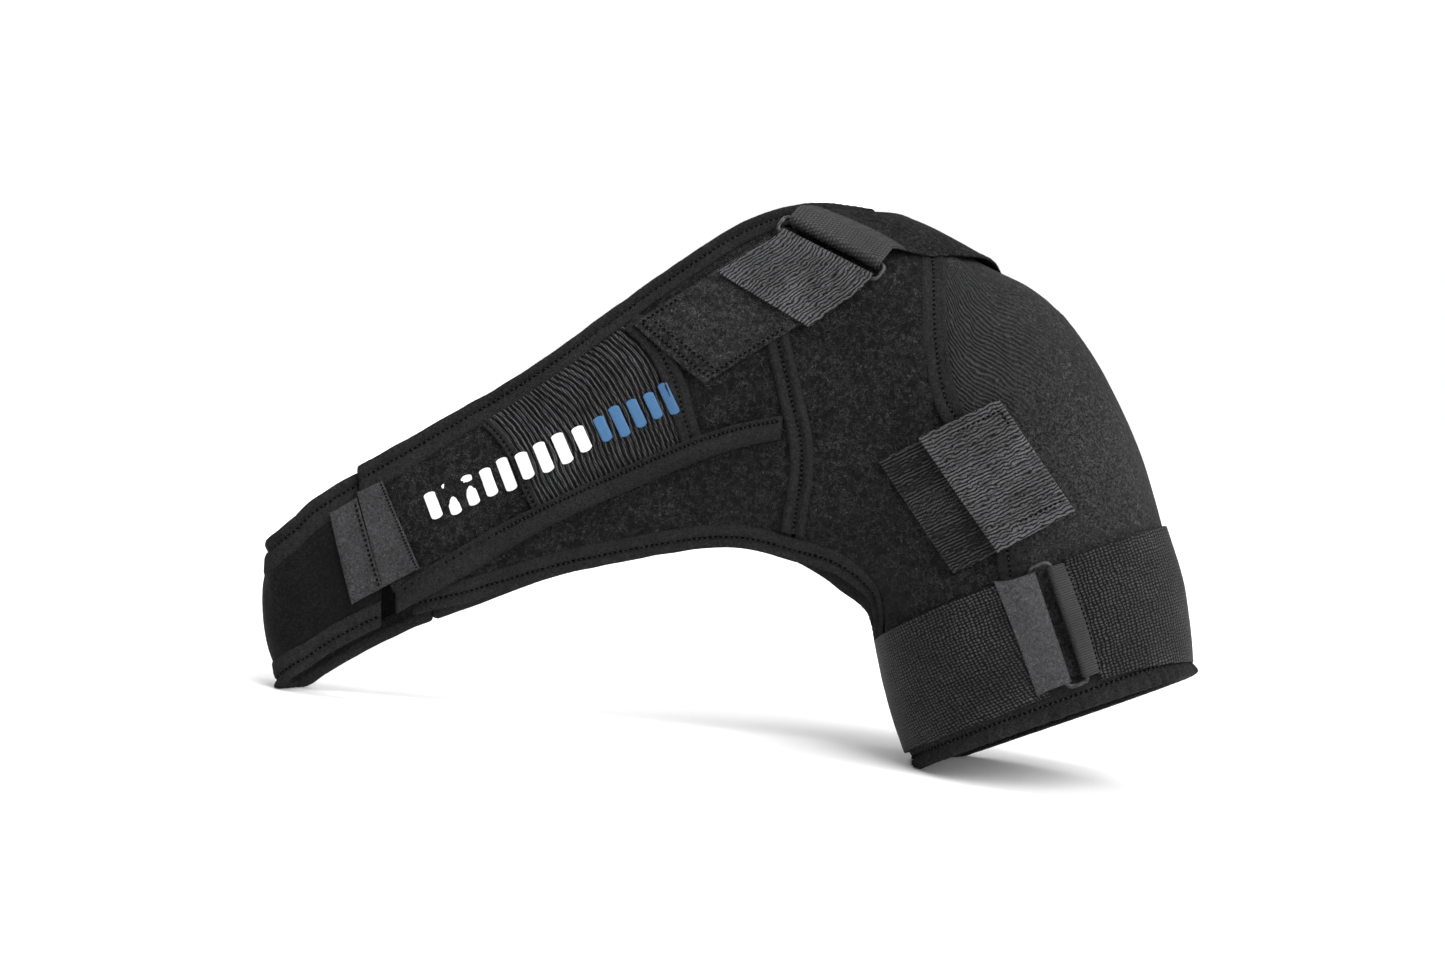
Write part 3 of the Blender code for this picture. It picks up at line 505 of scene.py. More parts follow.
LOOKS = {
    "fleece": fleece("loop_fleece", grey(0.0036), grey(0.075), 380, 0.9 * MM, 0.3, 0.045, 0.05),
    "fuzzy": fleece("fuzzy_loop", grey(0.0045), grey(0.105), 400, 1.2 * MM, 0.4, 0.06, 0.14),
    "knit": smooth_knit("smooth_knit", grey(0.0020), grey(0.0145)),
    "dome": smooth_knit("brushed_knit", grey(0.0052), grey(0.052), 0.9,
                        ((0.062, 0.020), 0.054, np.radians(66))),
    "binding": fleece("binding_knit", grey(0.0062), grey(0.042), 640, 0.8 * MM, 0.3, 0.08, 0.4),
    "elastic": webbing_weave("arm_elastic", grey(0.0010), grey(0.080), 2.0, 1.5, 0.32),
    "ribbed": webbing_weave("ribbed_webbing", grey(0.0040), grey(0.150), 0, 1.8, 0.4, valley_shade=0.28),
    # Same weave as the ribbed webbing, darker: painted shade for the deltoid tab's base, which lies under its
    # flap.
    "ribbed_with_painted_shade": webbing_weave("webbing_with_painted_shade", grey(0.0016), grey(0.070), 0, 1.8, 0.4, valley_shade=0.12),
    "satin": webbing_weave("satin_webbing", grey(0.0030), grey(0.022), 0, 1.2, 0.1, 0.2 * MM, 0.6, 0.35),
    "roll": webbing_weave("rolled_webbing", grey(0.0030), grey(0.042), 1.4, 1.6, 0.2, 0.3 * MM, 0.6, 0.35),
    "insert": webbing_weave("insert_elastic", grey(0.0016), grey(0.072), 1.1, 0, 0.4, valley_shade=0.05),
    "felt": fleece("grey_felt", grey(0.018), grey(0.100), 460, 0.6 * MM, 0.3, 0.07, 0.35),
    # A lighter copy of the felt: painted light for the arm tab, which faces away from the sun.
    "felt_with_painted_light": fleece("felt_with_painted_light", grey(0.030), grey(0.140), 460, 0.6 * MM, 0.3, 0.07, 0.35),
    "liner": smooth_knit("thin_liner", grey(0.0015), grey(0.008)),
    "thread": thread_of("thread", (0.036, 0.036, 0.037)),
    # Near-black capsules: painted shade in the pulled-in needle holes.
    "needle_hole_shade": thread_of("needle_shadow", (0.0004, 0.0004, 0.0005)),
    "wire": wire_paint("coated_wire"),
    "gel": gel_film("gel_film"),
    "white": ink("white_print", (0.86, 0.86, 0.87)),
    "blue": ink("blue_print", (0.048, 0.130, 0.265)),
}


# ---------------------------------------------------------------- building pieces

def mesh_piece(name, points, faces, look, body="wrap", replaces=(), slot=None, uv=None, lining=None,
               rise=None):
    """An object from points and faces. lining is (look, where), with the faces that have that look."""
    mesh = bpy.data.meshes.new(name)
    mesh.from_pydata(points.tolist(), [], faces)
    mesh.validate()
    if uv is not None:
        layer = mesh.uv_layers.new(name="UVMap")
        corner = np.zeros(len(mesh.loops), int)
        mesh.loops.foreach_get("vertex_index", corner)
        layer.data.foreach_set("uv", uv[corner].astype(np.float32).ravel())
    if rise is not None:
        raised_by = mesh.attributes.new("rise", "FLOAT", "POINT")
        raised_by.data.foreach_set("value", rise.astype(np.float32).ravel())
    mesh.materials.append(LOOKS[look])
    if lining:
        mesh.materials.append(LOOKS[lining[0]])
        mesh.polygons.foreach_set("material_index", np.asarray(lining[1]).astype(np.int32))
    mesh.shade_smooth()
    piece = bpy.data.objects.new(name, mesh)
    bpy.context.scene.collection.objects.link(piece)
    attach(piece, body)
    if replaces:
        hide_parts(*replaces)
    return piece


def lines(length, spacing=CLOTH_GRID, radius=1.7):
    """Shares of a length in millimetres, evenly spaced, with close lines where both ends are rounded."""
    count = max(int(round(length / spacing)), 2)
    inner = np.linspace(radius / length, 1 - radius / length, count + 1)
    near = radius / length * np.array([0, 0.04, 0.18, 0.48])
    return np.concatenate([near, inner, 1 - near[::-1]])


def mesh_lines(rows, columns):
    return np.meshgrid(rows, columns, indexing="ij")


def run_lengths(places, axis):
    step = np.linalg.norm(np.diff(places, axis=axis), axis=-1)
    pad = [(0, 0), (0, 0)]
    pad[axis] = (1, 0)
    return np.pad(np.cumsum(step, axis=axis), pad)


def border_distance(places):
    """Millimetres from the grid's border, and metres along and across the grid."""
    along, over = run_lengths(places, 0), run_lengths(places, 1)
    near = np.minimum(np.minimum(along, along[-1:] - along), np.minimum(over, over[:, -1:] - over))
    return near / MM, along, over


def ripple(places, size, seed):
    """Smooth noise of about one millimetre either way, with features of a size in metres."""
    flat = places.reshape(-1, 3) / size + seed * 17.3
    return np.array([noise.noise(Vector(p)) for p in flat]).reshape(places.shape[:-1])


def shell(name, low, high, uv, look, rows, columns, lining=None, band=None, rise=None, **options):
    """A closed solid between two grids of places. lining is the look of its inner side, and band is
    (look, first row) for a part of its outer side."""
    facing = np.cross(high[1:, 1:] - high[:-1, :-1], high[:-1, 1:] - high[1:, :-1])
    if (facing * (high - low)[:-1, :-1]).sum() < 0:
        low, high, uv, rise = low[:, ::-1], high[:, ::-1], uv[:, ::-1], rise[:, ::-1]
    top = rows * columns
    i, j = np.meshgrid(np.arange(rows - 1), np.arange(columns - 1), indexing="ij")
    corner = (i * columns + j).ravel()
    over = np.stack([corner, corner + columns, corner + columns + 1, corner + 1], -1)
    sides = []
    for start, step, count, flip in ((0, columns, rows - 1, False), (columns - 1, columns, rows - 1, True),
                                     (0, 1, columns - 1, True),
                                     ((rows - 1) * columns, 1, columns - 1, False)):
        first = start + step * np.arange(count)
        wall = np.stack([first, first + step, first + step + top, first + top], -1)
        sides.append(wall[:, ::-1] if flip else wall)
    faces = np.concatenate([over + top, *sides, over[:, ::-1]]).tolist()
    points = np.concatenate([low.reshape(-1, 3), high.reshape(-1, 3)])
    number = np.arange(len(faces))
    second = (lining, number >= len(faces) - len(over)) if lining else None
    if band:
        second = (band[0], (number >= band[1] * (columns - 1)) & (number < len(over)))
    return mesh_piece(name, points, faces, look, uv=np.concatenate([uv.reshape(-1, 2)] * 2),
                      rise=np.concatenate([rise.ravel()] * 2),
                      lining=second, **options)


def rounded_shell(name, low, high, look, relief=0.0, **options):
    """A shell with its four edges rounded over its thickness. relief raises the outer side, in mm."""
    near, along, over = border_distance((low + high) / 2)
    thick = np.linalg.norm(high - low, axis=-1) / MM
    out = unit(high - low) * MM
    radius = thick / 2
    inset = 0.9 * (radius - np.sqrt(np.maximum(radius ** 2 - (radius - np.minimum(near, radius)) ** 2, 0)))
    grown = relief * np.clip(near / 1.5, 0, 1)
    return shell(name, low + out * inset[..., None], high + out * (grown - inset)[..., None],
                 np.stack([along, over], -1), look, *low.shape[:2], rise=grown * np.ones(near.shape),
                 **options)


def cloth_sheet(name, q, a, low, high, look, relief=0.0, held="stretched", rests_on=(), **options):
    """A sheet of cloth between two heights over the form."""
    low = raised(q, a, np.broadcast_to(np.asarray(low, float), q.shape))
    high = raised(q, a, np.broadcast_to(np.asarray(high, float), q.shape))
    piece = rounded_shell(name, low, high, look, relief, **options)
    declare((low + high) / 2)
    return piece


def declare(middle):
    """Works out the flat width and length of a sheet's middle surface, rounded to millimetres; nothing uses
    them.
    """
    width = float(run_lengths(middle, 1)[:, -1].max())
    length = float(run_lengths(middle, 0)[-1].max())
    width, length = round(max(width, 0.0101), 3), round(length, 3)


SETTLING_FRAMES = 20
SETTLING_STEP = 2
SEAM_DRAW = 0.5
FOAM_CLOTH = {"quality": 6, "mass": 0.15, "tension_stiffness": 40, "compression_stiffness": 40,
              "shear_stiffness": 15, "bending_stiffness": 1.5, "tension_damping": 20, "bending_damping": 2,
              "shrink_min": -0.02, "use_pressure": True, "uniform_pressure_force": 2.0}


def settled(q, a, cap):
    """A cloth simulation of the foam sheet, held at its seams: how far each place moves out, in mm."""
    rows, columns = [np.unique(np.append(np.arange(0, count, SETTLING_STEP), count - 1)) for count in q.shape]
    kq, ka = q[np.ix_(rows, columns)], a[np.ix_(rows, columns)]
    start = raised(kq, ka, np.zeros(kq.shape))
    n, m = kq.shape
    faces = [(i * m + j, (i + 1) * m + j, (i + 1) * m + j + 1, i * m + j + 1)
             for i in range(n - 1) for j in range(m - 1)]
    mesh = bpy.data.meshes.new("settling")
    mesh.from_pydata(start.reshape(-1, 3).tolist(), [], faces)
    sheet = bpy.data.objects.new("settling", mesh)
    bpy.context.scene.collection.objects.link(sheet)
    held = sheet.vertex_groups.new(name="held")
    border = [i * m + j for i in range(n) for j in range(m) if i in (0, n - 1) or j in (0, m - 1)]
    held.add(border, 1.0, "REPLACE")
    cloth = sheet.modifiers.new("Cloth", "CLOTH")
    settings = cloth.settings
    for key, value in FOAM_CLOTH.items():
        setattr(settings, key, value)
    settings.vertex_group_mass = "held"
    settings.effector_weights.gravity = 0
    cloth.point_cache.frame_start = 1
    cloth.point_cache.frame_end = SETTLING_FRAMES
    for number in range(1, SETTLING_FRAMES + 1):
        bpy.context.scene.frame_set(number)
    graph = bpy.context.evaluated_depsgraph_get()
    done = sheet.evaluated_get(graph).to_mesh()
    moved = np.zeros(n * m * 3, np.float32)
    done.vertices.foreach_get("co", moved)
    out = ((moved.reshape(n, m, 3) - start) * form_normal(kq, ka)).sum(-1) / MM
    sheet.evaluated_get(graph).to_mesh_clear()
    bpy.data.objects.remove(sheet)
    bpy.data.meshes.remove(mesh)
    bpy.context.scene.frame_set(1)
    out = cap * np.tanh(np.nan_to_num(out) / cap)
    wide = np.stack([np.interp(np.arange(q.shape[1]), columns, row) for row in out])
    return np.stack([np.interp(np.arange(q.shape[0]), rows, column) for column in wide.T], -1)


def panel_relief(q, a, seed, wave=0.55, cap=1.1):
    """Foam cloth that is drawn in at its seams and swells and waves between them."""
    places = form(q, a)
    near, _, _ = border_distance(places)
    drawn = SEAM_DRAW * (np.clip(near / 14, 0, 1) ** 0.6 - 0.75)
    slow = wave * ripple(places, 0.045, seed) + 0.35 * wave * ripple(places, 0.016, seed + 1)
    inside = np.clip(near / 9, 0, 1)
    return drawn + slow * inside + settled(q, a, cap) * inside


# The cross-section of a bound edge: distance from the edge, height, and how much stitches pucker it.
BOUND_EDGE = [(12.6, -0.3, 0), (12.5, 0.2, 0), (11.9, 0.65, 0.1), (10.6, 0.85, 0.2), (9.2, 1.1, 0.4),
              (8.0, 1.35, 0.6), (7.1, 1.15, 1), (6.4, 0.35, 1), (5.8, -0.10, 1), (5.2, 0.5, 1),
              (4.6, 1.7, 0.9), (3.6, 2.9, 0.6), (2.4, 3.4, 0.3), (1.2, 2.9, 0.1), (0.3, 1.5, 0),
              (-0.1, -0.5, 0), (-0.1, -2.7, 0), (0.5, -4.1, 0), (1.6, -5.0, 0), (3.0, -5.1, 0.2),
              (4.4, -4.5, 0.6), (5.2, -4.2, 0.8), (6.2, -4.6, 0.6), (8.0, -4.8, 0.2), (10.0, -4.5, 0),
              (12.0, -4.2, 0), (12.2, -3.7, 0), (10.4, -3.4, 0), (10.3, -1.6, 0), (10.4, -0.3, 0)]
HEM_SECTION = [(12.6, -0.3), (12.4, 0.3), (11.4, 0.9), (10.4, 1.0), (9.5, 0.7), (8.8, 0.4), (8.2, 0.8),
               (7.2, 2.0), (6.0, 3.1), (4.6, 3.8), (3.2, 3.9), (1.9, 3.3), (0.8, 2.0), (0.2, 0.6),
               (-0.1, -1.0), (-0.1, -2.9), (0.5, -4.2), (1.6, -5.0), (3.0, -5.1), (4.4, -4.5), (5.2, -4.2),
               (6.2, -4.6), (8.0, -4.8), (10.0, -4.5), (12.0, -4.2), (12.2, -3.7), (10.4, -3.4),
               (10.3, -1.6), (10.4, -0.3)]
TAPE_SECTION = [(-5.9, 0.1, 0), (-5.75, 0.8, 0), (-5.0, 1.75, 0.1), (-3.8, 2.3, 0.2), (-2.5, 2.0, 0.6),
                (-1.5, 1.1, 1), (-0.7, 0.35, 1), (0.7, 0.35, 1), (1.5, 1.1, 1), (2.5, 2.0, 0.6),
                (3.8, 2.3, 0.2), (5.0, 1.75, 0.1), (5.75, 0.8, 0), (5.9, 0.1, 0)]
RIDGE_AND_FLAT = [(-5.9, 0.1, 0), (-5.75, 0.8, 0), (-5.0, 1.4, 0.1), (-3.2, 1.55, 0.3), (-1.6, 1.45, 0.6),
                  (-0.8, 1.0, 1), (-0.2, 0.75, 1), (0.6, 1.0, 1), (1.4, 1.5, 0.7), (2.6, 1.65, 0.4),
                  (3.4, 1.75, 0.2), (4.4, 2.25, 0.1), (5.3, 1.95, 0), (5.85, 0.8, 0), (5.9, 0.1, 0)]


def tube_piece(name, points, closed, look, uv, **options):
    """A solid from rings of places: points[i, j] is place j of ring i. Open ends get caps."""
    rows, around = points.shape[:2]
    i, j = np.meshgrid(np.arange(rows if closed else rows - 1), np.arange(around), indexing="ij")
    i, j = i.ravel(), j.ravel()
    after, beside = (i + 1) % rows, (j + 1) % around
    faces = np.stack([i * around + j, after * around + j, after * around + beside, i * around + beside], -1)
    middle = points.mean(1)
    spoke = points - middle[:, None]
    ahead = np.gradient(middle, axis=0)
    turn = (np.cross(spoke, np.roll(spoke, -1, 1)).sum(1) * ahead).sum()
    faces = (faces[:, ::-1] if turn > 0 else faces).tolist()
    if not closed:
        caps = [list(range(around))[::-1], [(rows - 1) * around + n for n in range(around)]]
        faces += caps if turn > 0 else [cap[::-1] for cap in caps]
    return mesh_piece(name, points.reshape(-1, 3), faces, look, uv=uv.reshape(-1, 2), **options)


def rounded_ends(length, radius=2.2):
    """How full each ring is near the two ends of a roll."""
    near = np.minimum(length, length[-1] - length) / MM
    return np.sqrt(np.clip(1 - (1 - np.clip(near / radius, 0, 1)) ** 2, 0.02, 1))


def bound_edge(name, q, edge_angle, lift, section, look, closed=False, pitch=4.0, seed=3, **options):
    """A rolled or folded edge: its section is carried along the rows q. edge_angle(q, s) gives the angle at a
    distance s from the edge, or (q, angle)."""
    s = np.array([p[0] for p in section])
    h = np.array([p[1] for p in section])
    w = np.array([p[2] for p in section])
    rows, columns = np.meshgrid(np.arange(len(q)), np.arange(len(s)), indexing="ij")
    found = edge_angle(q[rows], s[columns])
    qq, aa = found if isinstance(found, tuple) else (q[rows], found)
    middle = form(qq[:, len(s) // 3], aa[:, len(s) // 3])
    length = run_lengths(middle[:, None], 0)[:, 0]
    pucker = 0.32 * np.cos(2 * np.pi * length / (pitch * MM))[:, None] * w[None]
    waver = 0.5 * ripple(middle, 0.010, seed)[:, None] + 0.35 * ripple(middle, 0.03, seed + 2)[:, None]
    grown = h[columns] + pucker + waver * (h[columns] > -1.0) + lift
    if not closed:
        full = rounded_ends(length)[:, None]
        core = -1.2 if section is BOUND_EDGE else 0.6
        grown = core + (grown - core) * full
    points = raised(qq, aa, grown)
    uv = np.stack([length[:, None] + 0 * s[None], s[None] * MM + 0 * length[:, None]], -1)
    piece = tube_piece(name, points, closed, look, uv, **options)
    return piece


def stitch_row(name, q, a, height, pitch, swing, body="wrap"):
    """Stitches along a line on the form. swing is half a zigzag in mm, and 0 is a straight row."""
    height = np.broadcast_to(np.asarray(height, float), q.shape)
    thread_row(name, raised(q, a, height), form_normal(q, a), pitch, swing, body)


def thread_row(name, line, normal, pitch, swing, body="wrap"):
    """Threads along a line, with near-black capsules between them as painted shade in the needle holes."""
    capsules(name, line, normal, pitch, swing, "thread", body, 0.0, 0.50, 0.26)
    capsules(name + "_holes", line + 0.02 * MM * unit(normal), normal, pitch, swing, "needle_hole_shade", body, 0.5,
             0.62, 0.50)


def capsules(name, line, normal, pitch, swing, look, body, phase, length, thickness):
    run = run_lengths(line[:, None], 0)[:, 0]
    count = max(int(run[-1] / (pitch * MM)), 1)
    middle = (np.arange(count) + 0.25 + phase) * run[-1] / count
    at = np.stack([np.interp(middle, run, line[:, c]) for c in range(3)], -1)
    up = unit(np.stack([np.interp(middle, run, normal[:, c]) for c in range(3)], -1))
    slope = np.gradient(line, axis=0)
    ahead = unit(np.stack([np.interp(middle, run, slope[:, c]) for c in range(3)], -1))
    side = np.cross(up, ahead)
    lean = (np.where(np.arange(count) % 2, 1, -1) * swing)[:, None]
    half = (ahead * pitch * length / 2 + side * lean) * MM
    rings = np.array([(-1.0, 0.25), (-0.82, 0.9), (0.0, 1.15), (0.82, 0.9), (1.0, 0.25)])
    turn = np.linspace(0, 2 * np.pi, 6, endpoint=False)
    direction = unit(half)
    flat = np.cross(up, direction)
    points = (at[:, None, None] + half[:, None, None] * rings[None, :, 0, None, None]
              + thickness * MM * rings[None, :, 1, None, None]
              * (np.cos(turn)[None, None, :, None] * up[:, None, None]
                 + np.sin(turn)[None, None, :, None] * flat[:, None, None])
              - up[:, None, None] * (0.25 * MM * rings[None, :, 0, None, None] ** 2))
    faces = []
    for n in range(count):
        base = n * 30
        for r in range(4):
            for c in range(6):
                d = (c + 1) % 6
                faces.append((base + r * 6 + c, base + (r + 1) * 6 + c, base + (r + 1) * 6 + d,
                              base + r * 6 + d))
        faces.append(tuple(base + c for c in range(6)))
        faces.append(tuple(base + 24 + c for c in range(5, -1, -1)))
    mesh_piece(name, points.reshape(-1, 3), faces, look, body=body)


# ---------------------------------------------------------------- panels

def even_rows(start, end, share, spacing=CLOTH_GRID):
    """Knot numbers from start to end, evenly spaced along the form at a share of its height."""
    fine = np.linspace(start, end, 600)
    run = run_lengths(form(fine, angle_at(np.abs(fine), share))[:, None], 0)[:, 0]
    return np.interp(lines(run[-1] / MM, spacing) * run[-1], run, fine)


def side_wrap():
    q, v = mesh_lines(even_rows(-BACK_JOIN - 0.55 * SEAM, SIDE_CUT, 0.5), lines(100))
    k = np.abs(q)
    a = angle_at(k, lerp(lower_margin(k) + PANEL_GAP, 1 - top_margin(k) - PANEL_GAP, v))
    cloth_sheet("side_wrap_knit", q, a, *PANEL, "knit", relief=panel_relief(q, a, 1, wave=0.9),
                lining="liner", replaces=["side_wrap"], slot="neoprene", rests_on=["side_lower_roll"])


def chest_panel():
    u, v = mesh_lines(lines(180), lines(45))
    k = lerp(CHEST_LEFT, 5.85, u)
    low = angle_at(k, lower_margin(k) + PANEL_GAP)
    high = np.maximum(lerp(ROLL_LOW(k), ROLL_HIGH(k), 0.45), low + 0.04)
    a = lerp(low, high, v)
    k = lerp(CHEST_LEFT, FRONT_SEAM(a) - SEAM, u)
    cloth_sheet("chest_fleece", k, a, *PANEL, "fleece", relief=panel_relief(k, a, 2), lining="liner",
                replaces=["chest_panel"], slot="fleece", rests_on=["front_lower_roll"])


def strap_low(k):
    """The strap's lower edge, tucked under its roll."""
    k = np.clip(k, ROLL_KNOTS[0], ROLL_KNOTS[-1])
    return ROLL_HIGH(k) + lerp(-0.03, -0.06, ease((k - 1.6) / 0.8))


def strap_region(left, right, length, spacing=CLOTH_GRID, across_spacing=CLOTH_GRID):
    u, v = mesh_lines(lines(length, spacing), lines(65, across_spacing))
    k = u * 0
    for _ in range(8):
        a = lerp(strap_low(k), angle_at(k, 1 - top_margin(k) - PANEL_GAP), v)
        k = lerp(left(v, a), right(v, a), u)
    return k, a, u, v


def front_strap():
    def slanted(ends, shift):
        return lambda v, a: lerp(ends[0], ends[1], v) + shift
    half = SEAM / 2
    spans = (("left", slanted(STRAP_LEFT, 0), slanted(INSERT_LEFT, -half), 62),
             ("right", slanted(INSERT_RIGHT, half), lambda v, a: FRONT_SEAM(a) - SEAM, 70))
    for seed, (side, left, right, length) in enumerate(spans):
        k, a, _, _ = strap_region(left, right, length)
        base = strap_height(k)
        cloth_sheet(f"strap_fleece_{side}", k, a, base, base + 2.8, "fleece", lining="liner",
                    relief=panel_relief(k, a, 4 + seed, wave=0.4, cap=0.8), replaces=[f"front_strap_{side}"],
                    slot="fleece", rests_on=["strap_top_roll"])
    k, a, u, v = strap_region(slanted(INSERT_LEFT, half), slanted(INSERT_RIGHT, -half), 66, 0.38, 1.6)
    base = strap_height(k)
    places = form(k, a)
    pitch_count = 32
    bend = 0.75 * ripple(places, 0.022, 9) + 0.3 * ripple(places, 0.007, 10)
    rib = np.abs(np.sin(np.pi * (u * pitch_count + bend)))
    ribs = 0.95 * rib ** 0.8 - 0.7 + 0.2 * ripple(places, 0.004, 12)
    cloth_sheet("ribbed_elastic", k, a, base, base + 2.8, "insert", lining="liner",
                relief=ribs * np.clip(np.minimum(v, 1 - v) * 14, 0.1, 1), replaces=["ribbed_insert"],
                slot="webbing", rests_on=["strap_top_roll"])


# A gentle upper limit that the shoulder panel's inner lines follow.
EASY_TOP = Guide(np.radians([178, 172, 150, 124, 104, 95, 90, 86, 84.5]),
                 [5.0, 6.2, 7.0, 7.6, 8.3, 9.0, 9.6, 10.4, 11.2])


def shoulder_panels():
    for name, side, seed in (("front", 1, 20), ("back", -1, 21)):
        rows = np.unique(np.concatenate([lines(215), np.linspace(0.2, 0.45, 90)]))
        u, v = mesh_lines(rows, lines(160))
        k = u * 0 + 5.6
        for _ in range(26):
            low = angle_at(k, lower_margin(k) + 0.006)
            edge = angle_at(k, 1 - top_margin(k) - 0.014)
            high = np.where(k < 7.05, edge, np.minimum(DELTOID_SEAM(np.maximum(k, 7.05)) - 0.012, edge))
            a = lerp(low, lerp(EASY_TOP(k), high, v ** 4), v)
            k = lerp(k, lerp(FRONT_SEAM(a) + SEAM, SLEEVE_TOP - 0.02, u), 0.6)
        a = turned(a, side)
        cloth_sheet(f"{name}_shoulder_fleece", k, a, *PANEL, "fleece", relief=panel_relief(k, a, seed),
                    lining="liner", replaces=[f"{name}_shoulder_panel"], slot="fleece",
                    rests_on=["front_lower_roll" if side > 0 else "back_lower_roll"])


def deltoid_panel():
    rows = 7.16 + (PANELS_END - 7.16) * np.unique(np.concatenate([lines(200), lines(200) ** 2]))
    k, v = mesh_lines(rows[np.append(True, np.diff(rows) > 0.004)], lines(230))
    seam = DELTOID_SEAM(k) + 0.018
    a = lerp(seam, 2 * np.pi - seam, v)
    relief = panel_relief(k, a, 30, wave=0.5)
    cloth_sheet("deltoid_knit", k, a, *PANEL, "dome", relief=relief, lining="liner",
                replaces=["deltoid_panel"], slot="neoprene", rests_on=["deltoid_seam_front"])


def sleeve_panel():
    u, v = mesh_lines(lines(52), lines(190))
    k = lerp(SLEEVE_TOP, PANELS_END, u)
    seam = DELTOID_SEAM(k) - 0.010
    a = lerp(-seam, seam, v)
    cloth_sheet("sleeve_fleece", k, a, *PANEL, "fleece", relief=panel_relief(k, a, 40), lining="liner",
                replaces=["sleeve_panel"], slot="fleece", rests_on=["cuff_hem_roll"])


def back_chest_panel():
    u, v = mesh_lines(lines(190), lines(125))
    k = u * 0 + 4
    for _ in range(10):
        a = angle_at(k, lerp(lower_margin(k) + PANEL_GAP, 1 - top_margin(k) - PANEL_GAP, v))
        k = lerp(BACK_JOIN + 0.45 * SEAM, FRONT_SEAM(a) - SEAM, u)
    a = 2 * np.pi - a
    cloth_sheet("back_chest_fleece", k, a, *PANEL, "fleece", relief=panel_relief(k, a, 50), lining="liner",
                replaces=["back_chest_panel"], slot="fleece", rests_on=["back_lower_roll"])
    share = np.linspace(0.1, 0.9, 200)
    for word, shift in (("near", -0.06), ("far", 0.09)):
        knots = share * 0 + BACK_JOIN + shift
        stitch_row(f"back_join_{word}_stitches", knots, 2 * np.pi - angle_at(knots, share), 0.25, 2.6, 0.0)


# ---------------------------------------------------------------- edges and seams

def edge_binding(name, node, start, end, top, seed, look="binding"):
    """A folded strip over an open edge, with its stitches."""
    q = even_rows(start, end, 1.0 if top else 0.0, EDGE_GRID)
    along_strap = node == "strap_top_binding"
    lift = (strap_height(np.abs(q)) - strap_height(9.0) if along_strap else 0 * q)[:, None]

    def edge_angle(rows, s):
        k = np.abs(rows)
        margin = (top_margin(k) if top else lower_margin(k)) * s / EDGE_WIDTH
        return angle_at(k, 1 - margin if top else margin)

    bound_edge(name, q, edge_angle, lift, BOUND_EDGE, look, seed=seed, replaces=[node], slot="binding")
    fine = np.linspace(start + 0.04 * np.sign(end - start), end - 0.04 * np.sign(end - start), 500)
    raise_by = strap_height(np.abs(fine)) - strap_height(9.0) if along_strap else 0
    stitch_row(name + "_stitches", fine, edge_angle(fine, 5.8), 0.25 + raise_by, 2.6, 0.3 if top else 0.12)


def hem():
    """The sleeve's hem: a folded strip with creases across it and zigzag stitches."""
    count = 520
    turn = np.linspace(0, 2 * np.pi, count, endpoint=False)
    s = np.array([p[0] for p in HEM_SECTION])
    h = np.array([p[1] for p in HEM_SECTION])
    i, j = np.meshgrid(np.arange(count), np.arange(len(s)), indexing="ij")
    k = lerp(HEM_KNOT - 0.002, PANELS_END + 0.03, np.maximum(s[j], 0) / EDGE_WIDTH)
    middle = form(np.full(count, 13.5), -turn)
    gather = np.cos(2 * np.pi * np.arange(count) / 7.3 + 9 * ripple(middle, 0.03, 63))
    crease = 1.1 * gather * np.clip(0.6 + 1.2 * ripple(middle, 0.02, 64), 0, 1.3)
    crease += 1.1 * ripple(middle, 0.0045, 61) + 0.7 * ripple(middle, 0.013, 62)
    bulge = np.clip(1 - np.abs(s - 4) / 6, 0, 1)
    outside = h > -1
    height = h[j] + crease[:, None] * bulge[None] * outside[None]
    points = raised(k, -turn[i], height)
    length = run_lengths(middle[:, None], 0)
    uv = np.stack([length + 0 * s[None], s[None] * MM + 0 * length], -1)
    piece = tube_piece("cuff_hem_roll", points, True, "binding", uv, replaces=["cuff_hem_binding"],
                       slot="binding")
    fine = np.linspace(0, 2 * np.pi, 700)
    stitch_row("cuff_hem_roll_stitches", fine * 0 + lerp(HEM_KNOT, PANELS_END + 0.03, 0.88), -fine, 0.85,
               2.6, 0.5)


def beside(k, a, sideways):
    """Knots and angles of places at a distance in millimetres to the side of a line on the form."""
    e = 1e-3
    by_k = (form(k + e, a) - form(k - e, a)) / (2 * e)
    by_a = (form(k, a + e) - form(k, a - e)) / (2 * e)
    line = unit(np.gradient(form(k, a), axis=0))
    side = np.cross(form_normal(k, a), line) * np.asarray(sideways)[..., None] * MM
    kk, aa, ka = (by_k ** 2).sum(-1), (by_a ** 2).sum(-1), (by_k * by_a).sum(-1)
    sk, sa = (side * by_k).sum(-1), (side * by_a).sum(-1)
    det = kk * aa - ka ** 2
    return k + (sk * aa - sa * ka) / det, a + (sa * kk - sk * ka) / det


def even_line(k, a, spacing):
    """A line on the form with its places evenly spaced, closer at both ends."""
    run = run_lengths(form(k, a)[:, None], 0)[:, 0]
    wanted = lines(run[-1] / MM, spacing) * run[-1]
    return np.interp(wanted, run, k), np.interp(wanted, run, a)


